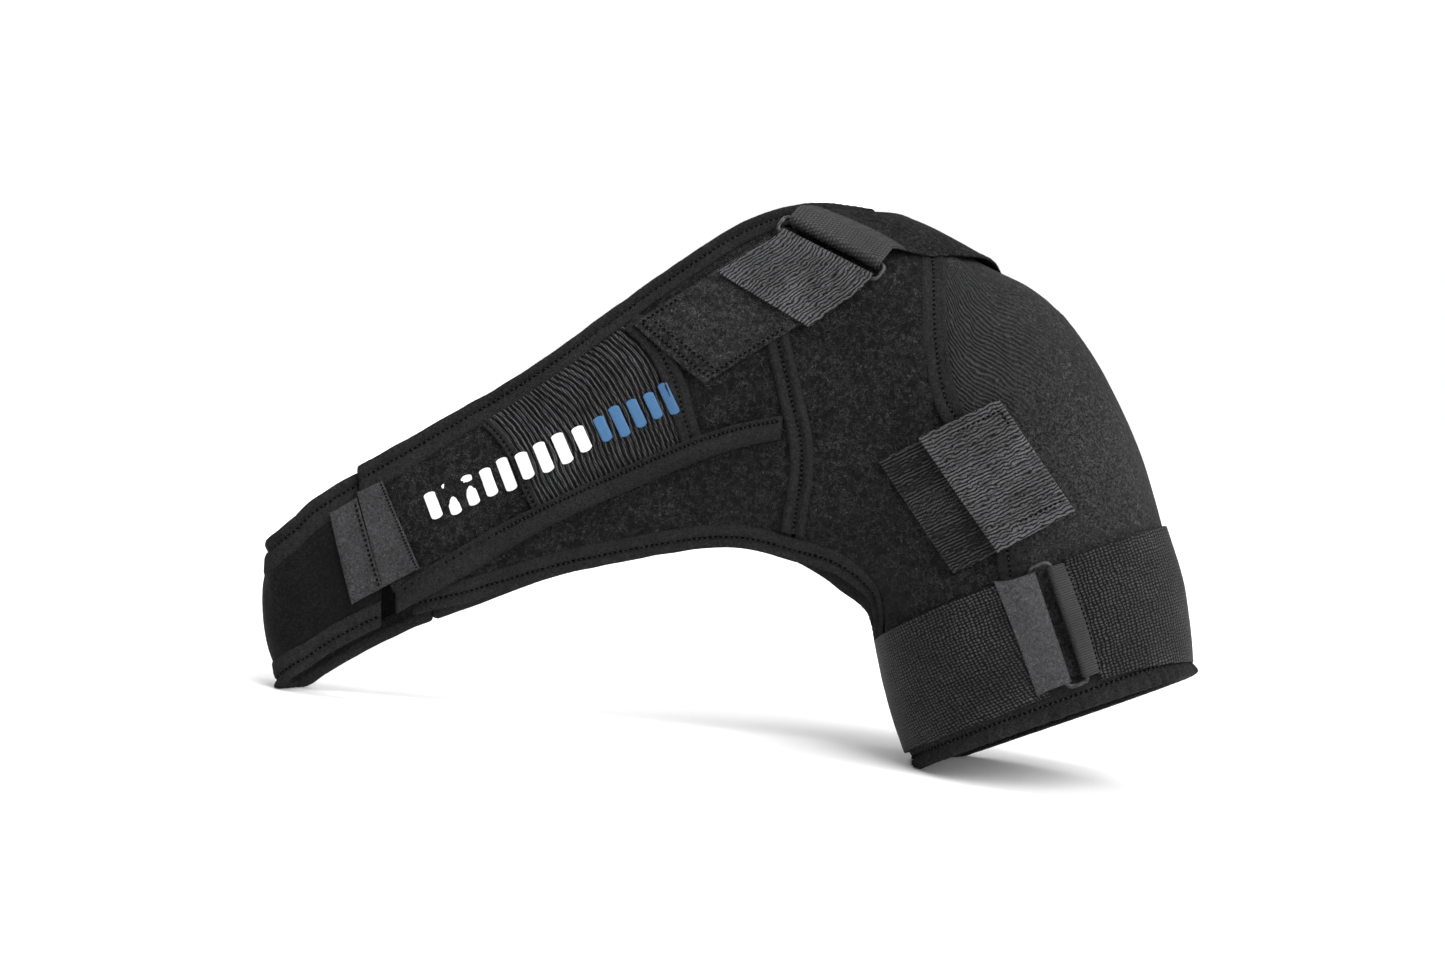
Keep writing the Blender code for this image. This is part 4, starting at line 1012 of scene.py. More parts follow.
def seam_tape(name, node, k, a, width=TAPE_WIDTH, lift=0.0, groove=True, stitches=((0, 0.0),),
              look="binding"):
    """A narrow strip over a seam: two soft ridges with stitches between them, or a flat strip."""
    k, a = even_line(k, a, 0.9)
    section = TAPE_SECTION if groove else RIDGE_AND_FLAT
    section = [(s * width / TAPE_WIDTH, h, w) for s, h, w in section]
    lift = np.interp(np.linspace(0, 1, len(k)), np.linspace(0, 1, np.size(lift)), np.ravel(lift))

    def place(_, s):
        sides = [beside(k, a, np.full(len(k), value)) for value in s[0]]
        return np.stack([x[0] for x in sides], 1), np.stack([x[1] for x in sides], 1)

    bound_edge(name, k, place, lift[:, None], section, look, replaces=[node], slot="binding",
               seed=int(width * 3 + len(k)) % 17)
    for number, (side, swing) in enumerate(stitches):
        kk, aa = beside(k, a, np.full(len(k), float(side)))
        tag = f"_{number}" if len(stitches) > 1 else ""
        inside = slice(4, -4)
        stitch_row(f"{name}_stitches{tag}", kk[inside], aa[inside],
                   (lift + (0.55 if groove else 0.95))[inside],
                   2.4, swing)


def seam_tapes():
    for side, word in ((1, "front"), (-1, "back")):
        angle = np.linspace(angle_at(5.88, lower_margin(5.88) + 0.03),
                            angle_at(5.4, 1 - top_margin(5.4) - 0.05), 60)
        seam_tape(f"{word}_chest_seam", f"{word}_chest_seam_tape", FRONT_SEAM(angle), turned(angle, side),
                  stitches=((0, 0.3),))
        knots = np.concatenate([np.linspace(7.17, 7.9, 30), np.linspace(7.95, PANELS_END - 0.06, 60)])
        seam_tape(f"deltoid_seam_{word}", f"{word}_deltoid_seam_tape", knots,
                  turned(DELTOID_SEAM(knots), side),
                  groove=False)


def strap_roll():
    """The stuffed roll along the strap's lower edge, lying over the chest panel."""
    t = np.linspace(0, 1, 600)
    k = t * 0 + 3
    for _ in range(8):
        a = lerp(ROLL_LOW(k), ROLL_HIGH(k), 0.5)
        k = lerp(1.54, FRONT_SEAM(a) - 0.25, t)
    run = run_lengths(form(k, a)[:, None], 0)[:, 0]
    rows = np.interp(lines(run[-1] / MM, 0.9) * run[-1], run, k)
    section = [(0.0, 0.0, 0), (-0.03, 2.0, 0), (0.01, 4.2, 0.1), (0.12, 5.9, 0.2), (0.30, 6.8, 0.2),
               (0.48, 6.3, 0.3), (0.63, 4.5, 0.8), (0.73, 3.1, 1), (0.81, 2.8, 1), (0.89, 3.5, 0.7),
               (0.96, 3.6, 0.3), (1.0, 2.6, 0), (0.98, 0.9, 0), (0.5, 0.05, 0)]

    def place(row, s):
        return lerp(ROLL_LOW(row), ROLL_HIGH(row), s)

    start = lerp(1.7, 0.45, ease((rows - 2.2) / 0.6))[:, None]
    low = start * np.array([max(0.0, 1 - h / 4.5) for _, h, _ in section])[None]
    bound_edge("strap_lower_roll", rows, place, low, section, "binding", seed=8,
               replaces=["strap_lower_binding"],
               slot="binding")
    fine = np.interp(np.linspace(0.01, 0.99, 500) * run[-1], run, k)
    stitch_row("strap_lower_roll_stitches", fine, place(fine, 0.79), 3.15, 2.2, 0.45)


def insert_tapes():
    for side, ends, width in (("left", INSERT_LEFT, 4), ("right", INSERT_RIGHT, 10)):
        v = np.linspace(0.0, 0.95, 60)
        k = lerp(ends[0], ends[1], v)
        low = strap_low(k)
        high = angle_at(k, 1 - top_margin(k) - PANEL_GAP)
        seam_tape(f"insert_seam_{side}", f"insert_tape_{side}", k, lerp(low, high, v), width=width,
                  lift=strap_height(k) + 2.7, groove=False)


# ---------------------------------------------------------------- rings, straps and tabs

class Ring:
    """Where a strap ring lies: two bars along one line of the form, the first bar on the loop side."""

    def __init__(self, ends, height, spacing):
        low, high = [form(k, a) for k, a in ends]
        normals = [form_normal(k, a) for k, a in ends]
        self.along = unit(high - low)
        out = unit(normals[0] + normals[1])
        self.out = unit(out - self.along * np.dot(out, self.along))
        self.across = np.cross(self.along, self.out)
        self.centre = (low + high) / 2 + self.out * height * MM
        self.width = np.linalg.norm(high - low)
        share = np.linspace(0, 1, 9)[:, None]
        under = form(*lerp(np.array(ends[0]), np.array(ends[1]), share).T)
        lack = (under - low) @ self.out - share[:, 0] * np.dot(high - low, self.out)
        self.centre += self.out * lack.max()
        self.loop_bar = self.centre + self.across * spacing / 2
        self.free_bar = self.centre - self.across * spacing / 2
        self.spacing = spacing

    def wrap(self, bar, toward, t, angle, radius):
        """Places round a bar: t runs along it, angle 90 degrees is outward and 0 is toward the gap."""
        t, angle = np.broadcast_arrays(t, angle)
        turn = np.cos(angle)[..., None] * toward + np.sin(angle)[..., None] * self.out
        return bar + self.along * (t[..., None] - 0.5) * self.width + turn * radius


def strap_ring(name, node, ring, body):
    """A round wire bent into a rectangle with round corners, with a lapped weld in one long side."""
    corner = 3.0 * MM
    half_long = ring.width / 2 + 1.4 * MM + WIRE_RADIUS
    half_short = ring.spacing / 2
    centres = [(half_long - corner, half_short - corner, 0), (corner - half_long, half_short - corner, 90),
               (corner - half_long, corner - half_short, 180), (half_long - corner, corner - half_short, 270)]
    path = []
    for x, y, start in centres:
        for turn in np.radians(np.linspace(start, start + 90, 9)):
            path.append((x + corner * np.cos(turn), y + corner * np.sin(turn)))
    path = np.array(path + path[:1])
    run = run_lengths(path[:, None], 0)[:, 0]
    count = 180
    at = np.arange(count) * run[-1] / count
    x, y = np.interp(at, run, path[:, 0]), np.interp(at, run, path[:, 1])
    ahead = unit(np.stack([np.roll(x, -1) - np.roll(x, 1), np.roll(y, -1) - np.roll(y, 1)], -1))
    middle = ring.centre + ring.along * x[:, None] + ring.across * y[:, None]
    outward = ring.along * ahead[:, 1:] - ring.across * ahead[:, :1]
    weld = 1 + 0.10 * np.exp(-((at - run[-1] * 0.62) / (2.5 * MM)) ** 2)
    sides = np.linspace(0, 2 * np.pi, 16, endpoint=False)
    spread = np.cos(sides)[None, :, None] * outward[:, None] + np.sin(sides)[None, :, None] * ring.out
    points = middle[:, None] + 0.98 * WIRE_RADIUS * weld[:, None, None] * spread
    uv = np.stack(np.broadcast_arrays(at[:, None], sides[None] * WIRE_RADIUS), -1)
    tube_piece(name, points, True, "wire", uv, body=body, replaces=[node], slot="ring_wire")


def strap_end(k, a, height, hold, columns, ring, bar, toward, turns):
    """Joins webbing on the form, whose last row is nearest the bar, to a wrap round the bar."""
    t, turn = columns[None, :], np.radians(turns)[:, None]
    joined = []
    for radius, lift in ((LOOP_INSIDE, 0.0), (LOOP_OUTSIDE, WEBBING_THICKNESS)):
        places = raised(k, a, k * 0 + height + lift)
        away = ((bar - places) @ toward)[..., None]
        level = ring.wrap(bar, toward, t, np.full_like(t, np.pi / 2), radius) - toward * away
        drawn = lerp(places, level, np.asarray(hold)[..., None, None])
        joined.append(np.concatenate([drawn, ring.wrap(bar, toward, t, turn, radius)]))
    return joined


LOOP_TURNS = np.linspace(100, -85, 34)
FOLD_TURNS = np.linspace(100, 0, 20)


def arm_strap_top(a):
    """The strap's upper edge dips toward the armpit."""
    return 11.0 - 0.5 * (0.5 + 0.5 * np.cos(a)) ** 2


def arm_strap():
    u, v = mesh_lines(lines(395, 1.5, 0.7), lines(60, 1.2, 0.7))
    k = v * 0 + 12
    for _ in range(6):
        share = (k - 11) / 1.84
        a = lerp(np.radians(100.5) + share * np.radians(3), np.radians(444) + share * np.radians(3.5), u)
        k = lerp(arm_strap_top(a), 12.92 + 0.36 * np.exp(-((a - np.radians(175)) / 0.85) ** 2), v)
    places = form(k, a)
    edge = np.minimum(v, 1 - v) * 60
    scallop = 0.22 * np.exp(-(edge / 1.6) ** 2) * np.sin(2 * np.pi * u * 395 / 3.2)
    wave = 0.45 * ripple(places, 0.03, 70) + 0.15 * ripple(places, 0.009, 71)
    corner = np.exp(-((u - 0.90) / 0.07) ** 2) * np.clip((v - 0.35) / 0.65, 0, 1) ** 1.5
    stand = wave + 2.6 * corner
    low = STRAP_LOW + np.clip(stand, -0.4, 4)
    cloth_sheet("arm_elastic", k, a, low, low + WEBBING, "elastic", relief=scallop, replaces=["arm_strap"],
                slot="webbing", rests_on=["sleeve_fleece", "deltoid_knit"])


def webbing_piece(name, node, low, high, look, slot, body="wrap", relief=0.0,
                  band=None):
    piece = rounded_shell(name, low, high, look, relief, body=body, replaces=[node], slot=slot, band=band)
    declare((low + high) / 2)
    return piece


def along_bar(rows, columns, fine):
    """Knots and angles of fine rows through a few rows beside a bar, from its lower end to its upper end."""
    numbers = np.linspace(0, len(rows) - 1, fine)
    k_ends = Guide([row[0] for row in rows])(numbers)
    a_ends = np.radians(Guide([row[1] for row in rows])(numbers))
    t = columns[None, :]
    return lerp(k_ends[:, :1], k_ends[:, 1:], t), lerp(a_ends[:, :1], a_ends[:, 1:], t), numbers


def arm_closure(ring):
    columns = lines(60, 0.8, 0.6)
    rows = [((12.81, 11.0), (104.6, 101.0)), ((12.80, 10.97), (102.6, 99.2))]
    k, a, numbers = along_bar(rows, columns, 10)
    low, high = strap_end(k, a, FLAP_LOW, 0.8 * numbers, columns, ring, ring.loop_bar, -ring.across,
                          LOOP_TURNS)
    t = np.broadcast_to(columns[None], low.shape[:2])
    pleats = 0.10 * np.sin(2 * np.pi * t * 30 + 0.8 * ripple(low, 0.014, 80)) + 0.10 * ripple(low, 0.008, 81)
    webbing_piece("arm_ring_webbing", "arm_ring_loop", low, high, "satin", "webbing", relief=pleats)
    line = high[3, 3:-3] + (high[3] - low[3])[3:-3] * 0.12
    thread_row("arm_ring_webbing_stitches", line, np.broadcast_to(ring.out, line.shape), 2.4, 0.0)
    strap_ring("arm_ring_wire", "arm_ring", ring, "arm_ring_body")
    rows = [((12.83, 10.75), (83.8, 78.8)), ((12.82, 10.79), (85.4, 80.8)), ((12.81, 10.83), (87.0, 82.8)),
            ((12.80, 10.86), (88.4, 85.0))]
    k, a, numbers = along_bar(rows, columns, 24)
    hold = np.interp(numbers, [0, 1, 2, 3], [0, 0.1, 0.45, 0.85])
    low, high = strap_end(k, a, FLAP_LOW, hold, columns, ring, ring.free_bar, ring.across, FOLD_TURNS)
    # The tab uses the lighter copy of the felt: painted light, since it faces away from the sun.
    webbing_piece("arm_felt_tab", "arm_strap_tab", low, high, "felt_with_painted_light", "felt", "arm_tab",
                  relief=0.22 * ripple(low, 0.007, 83))


def patch_places(corners, u, v):
    """Knots and angles of places on a patch with its corners at (u, v) = (0,0), (1,0), (1,1), (0,1)."""
    c = np.array(corners, float)
    few = np.linspace(0, 1, 13)
    cu, cv = np.meshgrid(few, few, indexing="ij")
    spot = lerp(lerp(c[0], c[1], cu[..., None]), lerp(c[3], c[2], cu[..., None]), cv[..., None])
    found = np.stack(drape(spot[..., 0], spot[..., 1]), -1)
    iu = np.clip((np.asarray(u) * 12).astype(int), 0, 11)
    iv = np.clip((np.asarray(v) * 12).astype(int), 0, 11)
    fu, fv = (np.asarray(u) * 12 - iu)[..., None], (np.asarray(v) * 12 - iv)[..., None]
    near = lerp(found[iu, iv], found[iu + 1, iv], fu)
    far = lerp(found[iu, iv + 1], found[iu + 1, iv + 1], fu)
    both = lerp(near, far, fv)
    return both[..., 0], both[..., 1]


def patch_stitches(name, corners, path, height, body="wrap", pitch=2.6, swing=0.0):
    """A row of stitches along a path of (u, v) points on a patch."""
    path = np.array(path, float)
    run = np.append(0, np.cumsum(np.linalg.norm(np.diff(path, axis=0), axis=1)))
    t = np.linspace(0, run[-1], 240)
    k, a = patch_places(corners, np.interp(t, run, path[:, 0]), np.interp(t, run, path[:, 1]))
    stitch_row(name, k, a, height, pitch, swing, body)


def woven_ribs(along, across, places, seed, pitch=1.25, height=0.16):
    """Fine ribs across a webbing, broken here and there into dots. along and across are in metres."""
    warp = 0.30 * ripple(places, 0.022, seed) + 0.05 * ripple(places, 0.004, seed + 3)
    rib = np.cos(2 * np.pi * (along / (pitch * MM) + warp))
    dots = np.cos(2 * np.pi * (across / (1.9 * MM) + 0.6 * ripple(places, 0.006, seed + 4)))
    broken = np.clip(0.5 + 1.5 * ripple(places, 0.015, seed + 1), 0, 1)
    return height * (rib * lerp(1.0, 0.3 + 0.7 * dots, broken) - 0.4 + 0.2 * ripple(places, 0.003, seed + 5))


TOP_BASE = [(-51.5, 199), (13, 252), (59.5, 235), (-14, 176)]
TOP_FLAP = [(-13, 228), (13, 252), (59.5, 235), (33, 208.5)]
SIDE_TAB_BASE = [(-188.2, 89.6), (-174.7, 98.8), (-157.6, 58.6), (-172.5, 47.5)]
SIDE_TAB_FLAP = [(-174.8, 100.8), (-162.8, 108.0), (-140.5, 70.5), (-157.7, 58.7)]
DELTOID_TAB_BASE = [(73.0, 150.5), (124.0, 184.0), (166.0, 136.0), (115.5, 101.5)]
DELTOID_TAB_FLAP = [(90.5, 164.0), (125.5, 186.0), (167.5, 137.5), (134.0, 114.8)]


def top_closure(ring):
    u, v = mesh_lines(0.93 * lines(84, 1.0, 0.7), lines(50, 1.0, 0.7))
    k, a = patch_places(TOP_BASE, u, v)
    fluff = 0.35 * ripple(form(k, a), 0.0028, 90) + 0.3 * ripple(form(k, a), 0.014, 91)
    cloth_sheet("top_loop_patch", k, a, STRAP_LOW, STRAP_LOW + WEBBING, "fuzzy", relief=fluff - 0.1,
                replaces=["top_strap_base"], slot="fleece", held="laid", rests_on=["strap_fleece_right"])
    box = [(0.30, 0.05), (0.045, 0.05), (0.045, 0.95), (0.5, 0.95)]
    patch_stitches("top_loop_patch_stitches", TOP_BASE, box, STRAP_LOW + WEBBING + 0.15)
    inner = [(0.10, 0.10), (0.10, 0.90)]
    patch_stitches("top_loop_patch_inner_stitches", TOP_BASE, inner, STRAP_LOW + WEBBING + 0.15)
    shares = 0.85 * np.unique(np.concatenate([0.7 / 42 * np.array([0, 0.04, 0.18, 0.48]),
                                              np.linspace(0.7 / 42, 1, 130)]))
    columns = lines(50, 0.4, 0.6)
    u, v = mesh_lines(shares, columns)
    k, a = patch_places(TOP_FLAP, u, v)
    hold = np.interp(shares, [0, 0.15, 0.3, 0.45, 0.6, 0.72, 0.85], [0, 0, 0, 0.1, 0.35, 0.65, 0.95])
    low, high = strap_end(k[:, ::-1], a[:, ::-1], FLAP_LOW, hold, columns, ring, ring.free_bar, ring.across,
                          FOLD_TURNS)
    lifted = 0.8 * np.clip(1 - np.append(shares, np.ones(len(FOLD_TURNS))) / 0.3, 0, 1)[:, None] ** 2
    out = unit(high - low) * MM
    low, high = low + out * lifted[..., None], high + out * lifted[..., None]
    _, along, over = border_distance(low)
    ribs = woven_ribs(over, along, low, 93, 1.35, 0.11)
    webbing_piece("top_flap_webbing", "top_strap_flap", low, high, "ribbed", "webbing", "top_strap",
                  relief=ribs)
    strap_ring("top_ring_wire", "top_ring", ring, "top_ring_body")


YOKE_NECK_SIDE = Guide([(5.56, 2.66), (6.15, 2.83), (6.70, 3.04), (6.95, 3.40), (7.10, 3.95)],
                       [0, 0.22, 0.5, 0.75, 1])
YOKE_ARM_SIDE = Guide([(6.83, 2.38), (7.24, 2.49), (7.56, 2.65), (7.95, 2.97), (8.60, 3.95)],
                      [0, 0.22, 0.5, 0.75, 1])


def shoulder_yoke(ring):
    """The webbing that comes over the shoulder from behind and ends in the roll round the top ring."""
    share = 1 - lines(110, 0.9, 0.7)
    columns = lines(48, 0.6, 0.7)
    t, across_yoke = mesh_lines(share, columns)
    spot = lerp(YOKE_ARM_SIDE(t), YOKE_NECK_SIDE(t), across_yoke[..., None])
    k, a = spot[..., 0], spot[..., 1]
    hold = np.interp(share, [0, 0.05, 0.1, 0.17], [0.9, 0.55, 0.2, 0])
    low, high = strap_end(k, a, STRAP_LOW, hold, columns, ring, ring.loop_bar, -ring.across, LOOP_TURNS)
    row = np.append(1 - share, 1 + np.linspace(0.02, 0.1, len(LOOP_TURNS)))[:, None]
    side = np.minimum(columns, 1 - columns)[None, :] * 48
    selvedge = 0.35 * np.exp(-((side - 2.0) / 0.8) ** 2) + 0.25 * np.exp(-((side - 4.2) / 0.7) ** 2)
    roll_start = 0.915
    ribs = 0.14 * np.cos(2 * np.pi * columns[None, :] * 24 + 2 * ripple(low, 0.012, 98)) * (row > roll_start)
    relief = selvedge * (row < roll_start) + ribs + 0.9 * (row > roll_start) + 0.25 * ripple(low, 0.018, 97)
    webbing_piece("shoulder_yoke_webbing", "shoulder_yoke", low, high, "fleece", "fleece", relief=relief,
                  band=("roll", int(np.searchsorted(row[:, 0], roll_start))))


def side_tab():
    u, v = mesh_lines(lines(17, 0.8, 0.7), lines(50, 0.9, 0.7))
    k, a = patch_places(SIDE_TAB_BASE, u, v)
    rise = np.interp(u, np.linspace(0, 1, 4), [0.5, 0.9, 2.0, 3.3])
    cloth_sheet("side_felt_base", k, a, rise, rise + 1.6, "felt", relief=0.2 * ripple(form(k, a), 0.006, 100),
                replaces=["side_tab_base"], slot="felt", held="laid", rests_on=["side_wrap_knit"])
    u, v = mesh_lines(lines(17, 0.8, 0.7), lines(50, 0.9, 0.7))
    k, a = patch_places(SIDE_TAB_FLAP, u, v)
    low = FLAP_LOW + 0.9 * u ** 2
    cloth_sheet("side_felt_flap", k, a, low, low + 1.6, "felt", relief=0.25 * ripple(form(k, a), 0.007, 101),
                replaces=["side_tab_flap"], slot="felt", body="side_tab", held="laid",
                rests_on=["side_wrap_knit"])
    patch_stitches("side_felt_flap_selvedge", SIDE_TAB_FLAP, [(0.93, 0.02), (0.93, 0.98)], FLAP_LOW + 2.4,
                   "side_tab",
                   1.6, 0.15)
    patch_stitches("side_felt_base_stitches", SIDE_TAB_BASE, [(0.90, 0.04), (0.90, 0.96)], 4.75, pitch=2.4)


def deltoid_tab():
    u, v = mesh_lines(lines(62, 0.9, 0.7), lines(66, 0.42, 0.7))
    k, a = patch_places(DELTOID_TAB_BASE, u, v)
    places = form(k, a)
    _, along, over = border_distance(places)
    # The base uses the darker copy of the ribbed webbing: painted shade under the flap.
    cloth_sheet("deltoid_webbing_base", k, a, STRAP_LOW, STRAP_LOW + WEBBING, "ribbed_with_painted_shade",
                relief=woven_ribs(over, along, places, 110, 1.5, 0.18), replaces=["deltoid_tab_base"],
                slot="webbing",
                held="laid", rests_on=["deltoid_knit", "front_shoulder_fleece"])
    u, v = mesh_lines(lines(42, 0.7, 0.7), lines(66, 0.33, 0.7))
    k, a = patch_places(DELTOID_TAB_FLAP, u, v)
    places = form(k, a)
    _, along, over = border_distance(places)
    low = 4.4 + 2.2 * (1 - u) ** 3 + 0.9 * (np.abs(2 * v - 1) ** 3) * (1 - u)
    cloth_sheet("deltoid_webbing_flap", k, a, low, low + 1.6, "ribbed",
                relief=woven_ribs(over, along, places, 112, 1.4, 0.13) * np.clip((0.94 - v) / 0.04, 0.15, 1),
                replaces=["deltoid_tab_flap"], slot="webbing", body="deltoid_tab", held="laid",
                rests_on=["deltoid_webbing_base"])
    for word, path in (("top", [(0.06, 0.08), (0.93, 0.08), (0.93, 0.2)]),
                       ("bottom", [(0.06, 0.88), (0.93, 0.88)])):
        patch_stitches(f"deltoid_webbing_flap_{word}_stitches", DELTOID_TAB_FLAP, path, 6.35, "deltoid_tab")


# ---------------------------------------------------------------- gel packs

def gel_pockets():
    """Two gel packs inside the shoulder panels, each behind a bulging liner."""
    def fullness(u, v):
        return (1 - (2 * u - 1) ** 4) * (1 - (2 * v - 1) ** 4)

    for word, side, seed in (("front", 1, 120), ("back", -1, 130)):
        u, v = mesh_lines(lines(130, 2.2, 0.6), lines(110, 2.2, 0.6))
        k, a = lerp(6.25, 9.9, u), lerp(np.radians(60), np.radians(132), v)
        low = -6.2 - 10.5 * fullness(u, v) + 0.5 * ripple(form(k, a), 0.02, seed)
        cloth_sheet(f"{word}_pocket_liner", k, turned(a, side), low, low + 1.2, "liner",
                    replaces=[f"gel_pocket_{word}"], slot="liner", rests_on=[f"{word}_gel_pack_film"])
        u, v = mesh_lines(lines(105, 2.2, 1.0), lines(85, 2.2, 1.0))
        k, a = lerp(6.8, 9.45, u), lerp(np.radians(69), np.radians(123), v)
        inside_u, inside_v = (k - 6.25) / 3.65, (a - np.radians(60)) / np.radians(72)
        floor = -6.2 - 10.5 * fullness(inside_u, inside_v) + 2.2
        quilt = 0.5 * np.abs(np.sin(3 * np.pi * u) * np.sin(3 * np.pi * v))
        a = turned(a, side)
        pack = rounded_shell(f"{word}_gel_pack_film", raised(k, a, floor), raised(k, a, u * 0 - 8.3), "gel",
                             quilt - 0.2, replaces=[f"gel_pack_{word}"], slot="gel")


# ---------------------------------------------------------------- the printed mark

MARK_BOTTOM = [(1.90, np.radians(86.6)), (4.35, np.radians(88.2))]
MARK_TOP = [(1.74, np.radians(103.7)), (4.14, np.radians(98.1))]
WHITE_BARS = 9
BLUE_BARS = 5
MARK_BREAK = 0.665


def strap_surface(k, a):
    """Height of the strap's outer side, in millimetres above the form, with the tapes beside the insert."""
    high = angle_at(k, 1 - top_margin(k) - PANEL_GAP)
    low = ROLL_HIGH(np.clip(k, 1.5, 5.9)) + 0.012
    v = (a - low) / (high - low)
    over_tape = np.exp(-((k - lerp(*INSERT_LEFT, v)) / 0.085) ** 4)
    over_tape += np.exp(-((k - lerp(*INSERT_RIGHT, v)) / 0.16) ** 4)
    return strap_height(k) + 3.0 + 1.9 * over_tape


def bar(centre, half_width, reach):
    """A slanted bar with round ends, in rings from its middle out. centre is a share of the mark."""
    ring = np.linspace(0, 2 * np.pi, 28, endpoint=False)
    straight = reach[1] - reach[0]
    x = half_width * np.cos(ring)
    y = np.where(np.sin(ring) >= 0, reach[1], reach[0]) + 0.085 * np.sin(ring) * np.sign(straight)
    share = centre + x + 0.010 * (y - 0.5)
    bottom = lerp(np.array(MARK_BOTTOM[0]), np.array(MARK_BOTTOM[1]), share[:, None])
    top = lerp(np.array(MARK_TOP[0]), np.array(MARK_TOP[1]), share[:, None])
    spot = lerp(bottom, top, y[:, None])
    middle = spot.mean(0)
    rings = [lerp(middle[None], spot, f) for f in (0.0, 0.55, 0.93, 1.0)]
    k = np.stack([r[:, 0] for r in rings], 1)
    a = np.stack([r[:, 1] for r in rings], 1)
    return k, a


def mark():
    """A row of slanted bars, in place of the printed name: white ones and then blue ones."""
    for word, count, start, end, look in (("white", WHITE_BARS, 0.0, MARK_BREAK, "white"),
                                          ("blue", BLUE_BARS, MARK_BREAK + 0.012, 1.0, "blue")):
        points, faces = [], []
        step = (end - start) / count
        for number in range(count):
            wave = 0.5 + 0.5 * np.cos(number * 2.4)
            reach = (0.10 + 0.10 * wave, 0.78 + 0.12 * (1 - wave))
            k, a = bar(start + (number + 0.5) * step, step * 0.30, reach)
            base = sum(len(p) for p in points)
            lift = strap_surface(k, a)
            low = raised(k[:, -1], a[:, -1], strap_height(k[:, -1]) + 1.2)
            sides = raised(k[:, -1], a[:, -1], lift[:, -1] + 0.45)
            crown = raised(k[:, 2], a[:, 2], lift[:, 2] + 0.62)
            inner = raised(k[:, 1], a[:, 1], lift[:, 1] + 0.62)
            middle = raised(k[:1, 0], a[:1, 0], lift[:1, 0] + 0.62)
            floor = raised(k[:1, 0], a[:1, 0], strap_height(k[:1, 0]) + 1.2)
            points += [low, sides, crown, inner, middle, floor]
            n = len(low)
            for c in range(n):
                d = (c + 1) % n
                for r in range(3):
                    faces.append((base + r * n + c, base + r * n + d, base + (r + 1) * n + d,
                                  base + (r + 1) * n + c))
                faces.append((base + 3 * n + c, base + 3 * n + d, base + 4 * n))
                faces.append((base + d, base + c, base + 4 * n + 1))
        mesh_piece(f"{word}_mark", np.concatenate(points), faces, look)


# ---------------------------------------------------------------- the set

STAGE_LEFT, STAGE_RIGHT = -30, 30
STAGE_NEAR, STAGE_FAR = -9, 16
WALL_FOOT, WALL_TOP = -1, 14
FLOOR_LEVEL = -0.0003
SUN_STRENGTH = 3.5
SUN_WIDTH = np.radians(48)
SUN_TILT, SUN_TURN = np.radians(50), np.radians(36)
ROOM_LIGHT = 0.35
NO_RAYS_BUT_THE_CAMERAS = ("visible_diffuse", "visible_glossy", "visible_shadow", "visible_transmission")


def area_light(name, place, target, size, power):
    light = bpy.data.lights.new(name, "AREA")
    light.shape = "RECTANGLE"
    light.size, light.size_y = size
    light.energy = power
    lamp = bpy.data.objects.new(name, light)
    lamp.location = place
    lamp.rotation_euler = (Vector(target) - Vector(place)).to_track_quat("-Z", "Y").to_euler()
    bpy.context.scene.collection.objects.link(lamp)
    return lamp


def photo_camera():
    """A long lens, a little above the wrap, rolled so that both soles stand on level ground."""
    elevation, roll = np.radians(5), np.radians(6.84982)
    target = np.array([-0.01075, -0.00454, 0.127289])
    ahead = np.array([0, np.cos(elevation), -np.sin(elevation)])
    up = np.array([0, np.sin(elevation), np.cos(elevation)])
    right = np.array([1.0, 0, 0])
    x_axis = np.cos(roll) * right + np.sin(roll) * up
    y_axis = -np.sin(roll) * right + np.cos(roll) * up
    place = target - 2.0 * ahead
    lens = bpy.data.cameras.new("photo_camera")
    lens.lens = 101.65
    lens.sensor_width = 36
    camera = bpy.data.objects.new("photo_camera", lens)
    matrix = Matrix.Identity(4)
    for row in range(3):
        matrix[row][0], matrix[row][1], matrix[row][2], matrix[row][3] = (
            x_axis[row], y_axis[row], -ahead[row], place[row])
    camera.matrix_world = matrix
    bpy.context.scene.collection.objects.link(camera)
    bpy.context.scene.camera = camera


def plane(name, corners, look):
    mesh = bpy.data.meshes.new(name)
    mesh.from_pydata(corners, [], [(0, 1, 2, 3)])
    mesh.materials.append(look)
    made = bpy.data.objects.new(name, mesh)
    bpy.context.scene.collection.objects.link(made)
    return made


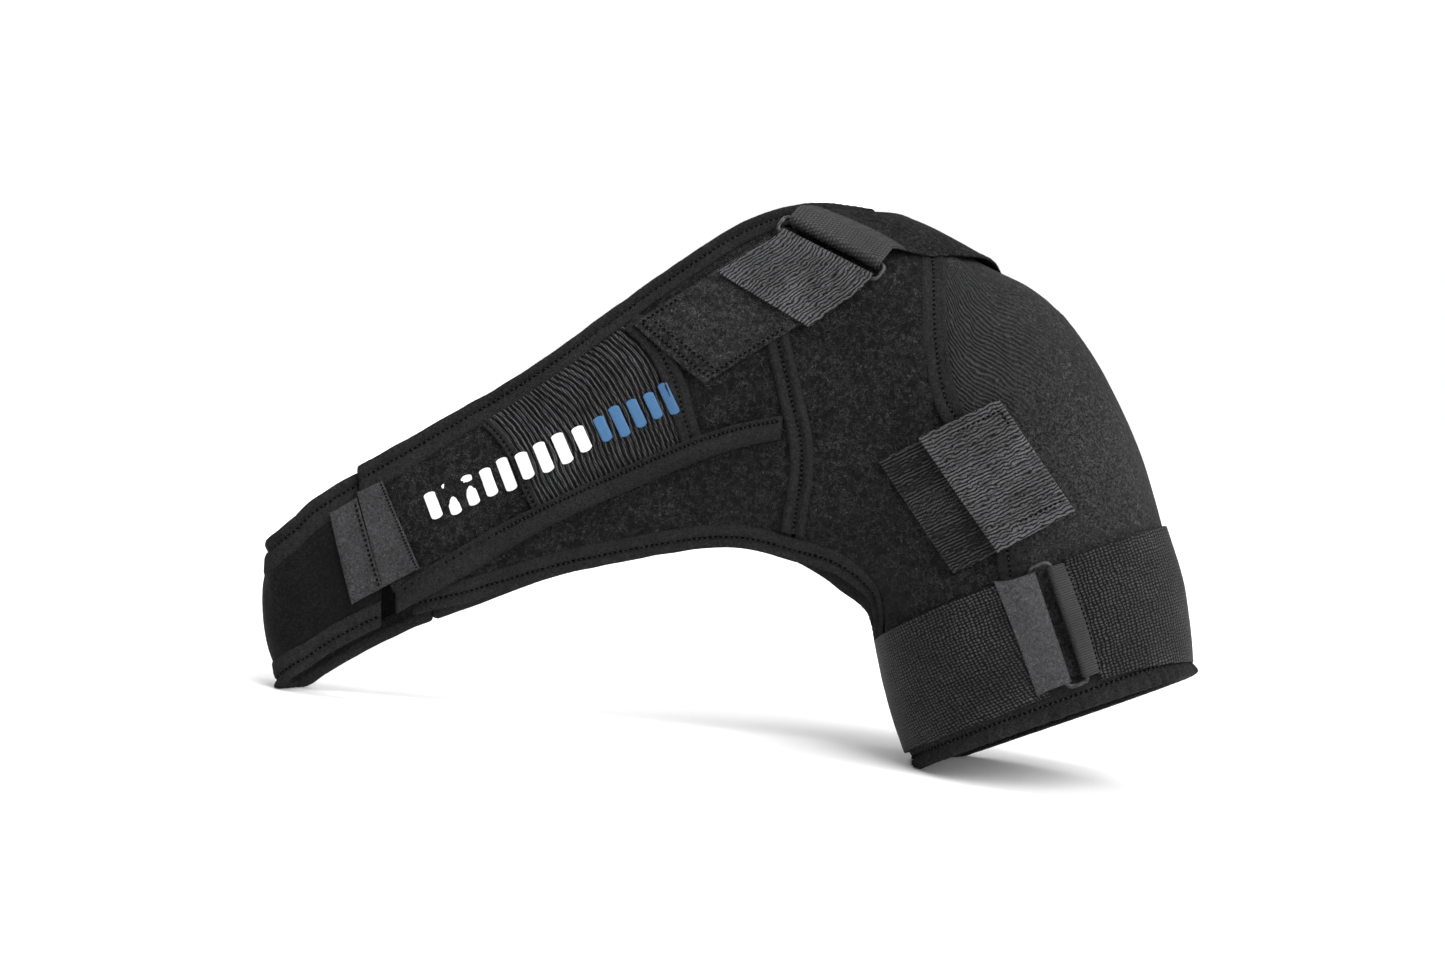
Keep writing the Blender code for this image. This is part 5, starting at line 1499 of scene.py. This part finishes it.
def studio():
    """A pale floor, a bright wall far behind, a broad soft sun from the front right and three softboxes."""
    paper, _, _ = shader("white_paper", (0.97, 0.97, 0.97), 0.9, Specular_IOR_Level=0.1)
    glow, _, _ = shader("bright_wall", (0.9, 0.9, 0.9), 1.0, Emission_Color=(1, 1, 1, 1),
                        Emission_Strength=1.0)
    floor = plane("floor", [(STAGE_LEFT, STAGE_NEAR, FLOOR_LEVEL), (STAGE_RIGHT, STAGE_NEAR, FLOOR_LEVEL),
                            (STAGE_RIGHT, STAGE_FAR, FLOOR_LEVEL), (STAGE_LEFT, STAGE_FAR, FLOOR_LEVEL)],
                            paper)
    wall = plane("wall", [(STAGE_LEFT, STAGE_FAR, WALL_FOOT), (STAGE_RIGHT, STAGE_FAR, WALL_FOOT),
                          (STAGE_RIGHT, STAGE_FAR, WALL_TOP), (STAGE_LEFT, STAGE_FAR, WALL_TOP)], glow)
    for flag in NO_RAYS_BUT_THE_CAMERAS:
        setattr(wall, flag, False)
    light = bpy.data.lights.new("soft_sun", "SUN")
    light.energy = SUN_STRENGTH
    light.angle = SUN_WIDTH
    sun = bpy.data.objects.new("soft_sun", light)
    sun.rotation_euler = (SUN_TILT, 0, SUN_TURN)
    bpy.context.scene.collection.objects.link(sun)
    lamps = [area_light("top_box", (-0.1, -0.2, 2.0), (-0.05, 0, 0.1), (1.2, 0.5), 20),
             area_light("rim", (1.6, 0.5, 1.0), (0.15, 0, 0.15), (0.5, 1.0), 12),
             area_light("back_box", (-0.9, 1.8, 1.2), (0, 0, 0.12), (1.2, 0.8), 18)]
    world = bpy.data.worlds.new("soft_room")
    bpy.context.scene.world = world
    world.use_nodes = True
    background = world.node_tree.nodes["Background"]
    background.inputs["Color"].default_value = (1, 1, 1, 1)
    background.inputs["Strength"].default_value = ROOM_LIGHT
    bpy.context.scene.view_settings.view_transform = "Standard"


def main():
    side_wrap()
    chest_panel()
    front_strap()
    shoulder_panels()
    deltoid_panel()
    sleeve_panel()
    back_chest_panel()
    join = BACK_JOIN + 0.2 * SEAM
    edge_binding("side_top_roll", "side_top_binding", -BACK_JOIN, 1.19, True, 2)
    edge_binding("side_lower_roll", "side_lower_binding", -BACK_JOIN, SIDE_CUT, False, 3)
    edge_binding("strap_top_roll", "strap_top_binding", 1.16, 6.45, True, 4)
    edge_binding("front_lower_roll", "front_lower_binding", CHEST_LEFT, 10.8, False, 5)
    edge_binding("back_top_roll", "back_top_binding", -6.45, -join, True, 6)
    edge_binding("back_lower_roll", "back_lower_binding", -10.8, -join, False, 7)
    hem()
    seam_tapes()
    strap_roll()
    insert_tapes()
    side_tab()
    deltoid_tab()
    arm_strap()
    arm_closure(Ring(ARM_RING_ENDS, RING_HEIGHT, ARM_BAR_SPACING))
    top_ring = Ring(TOP_RING_ENDS, RING_HEIGHT, TOP_BAR_SPACING)
    top_closure(top_ring)
    shoulder_yoke(top_ring)
    gel_pockets()
    mark()
    studio()
    photo_camera()


main()
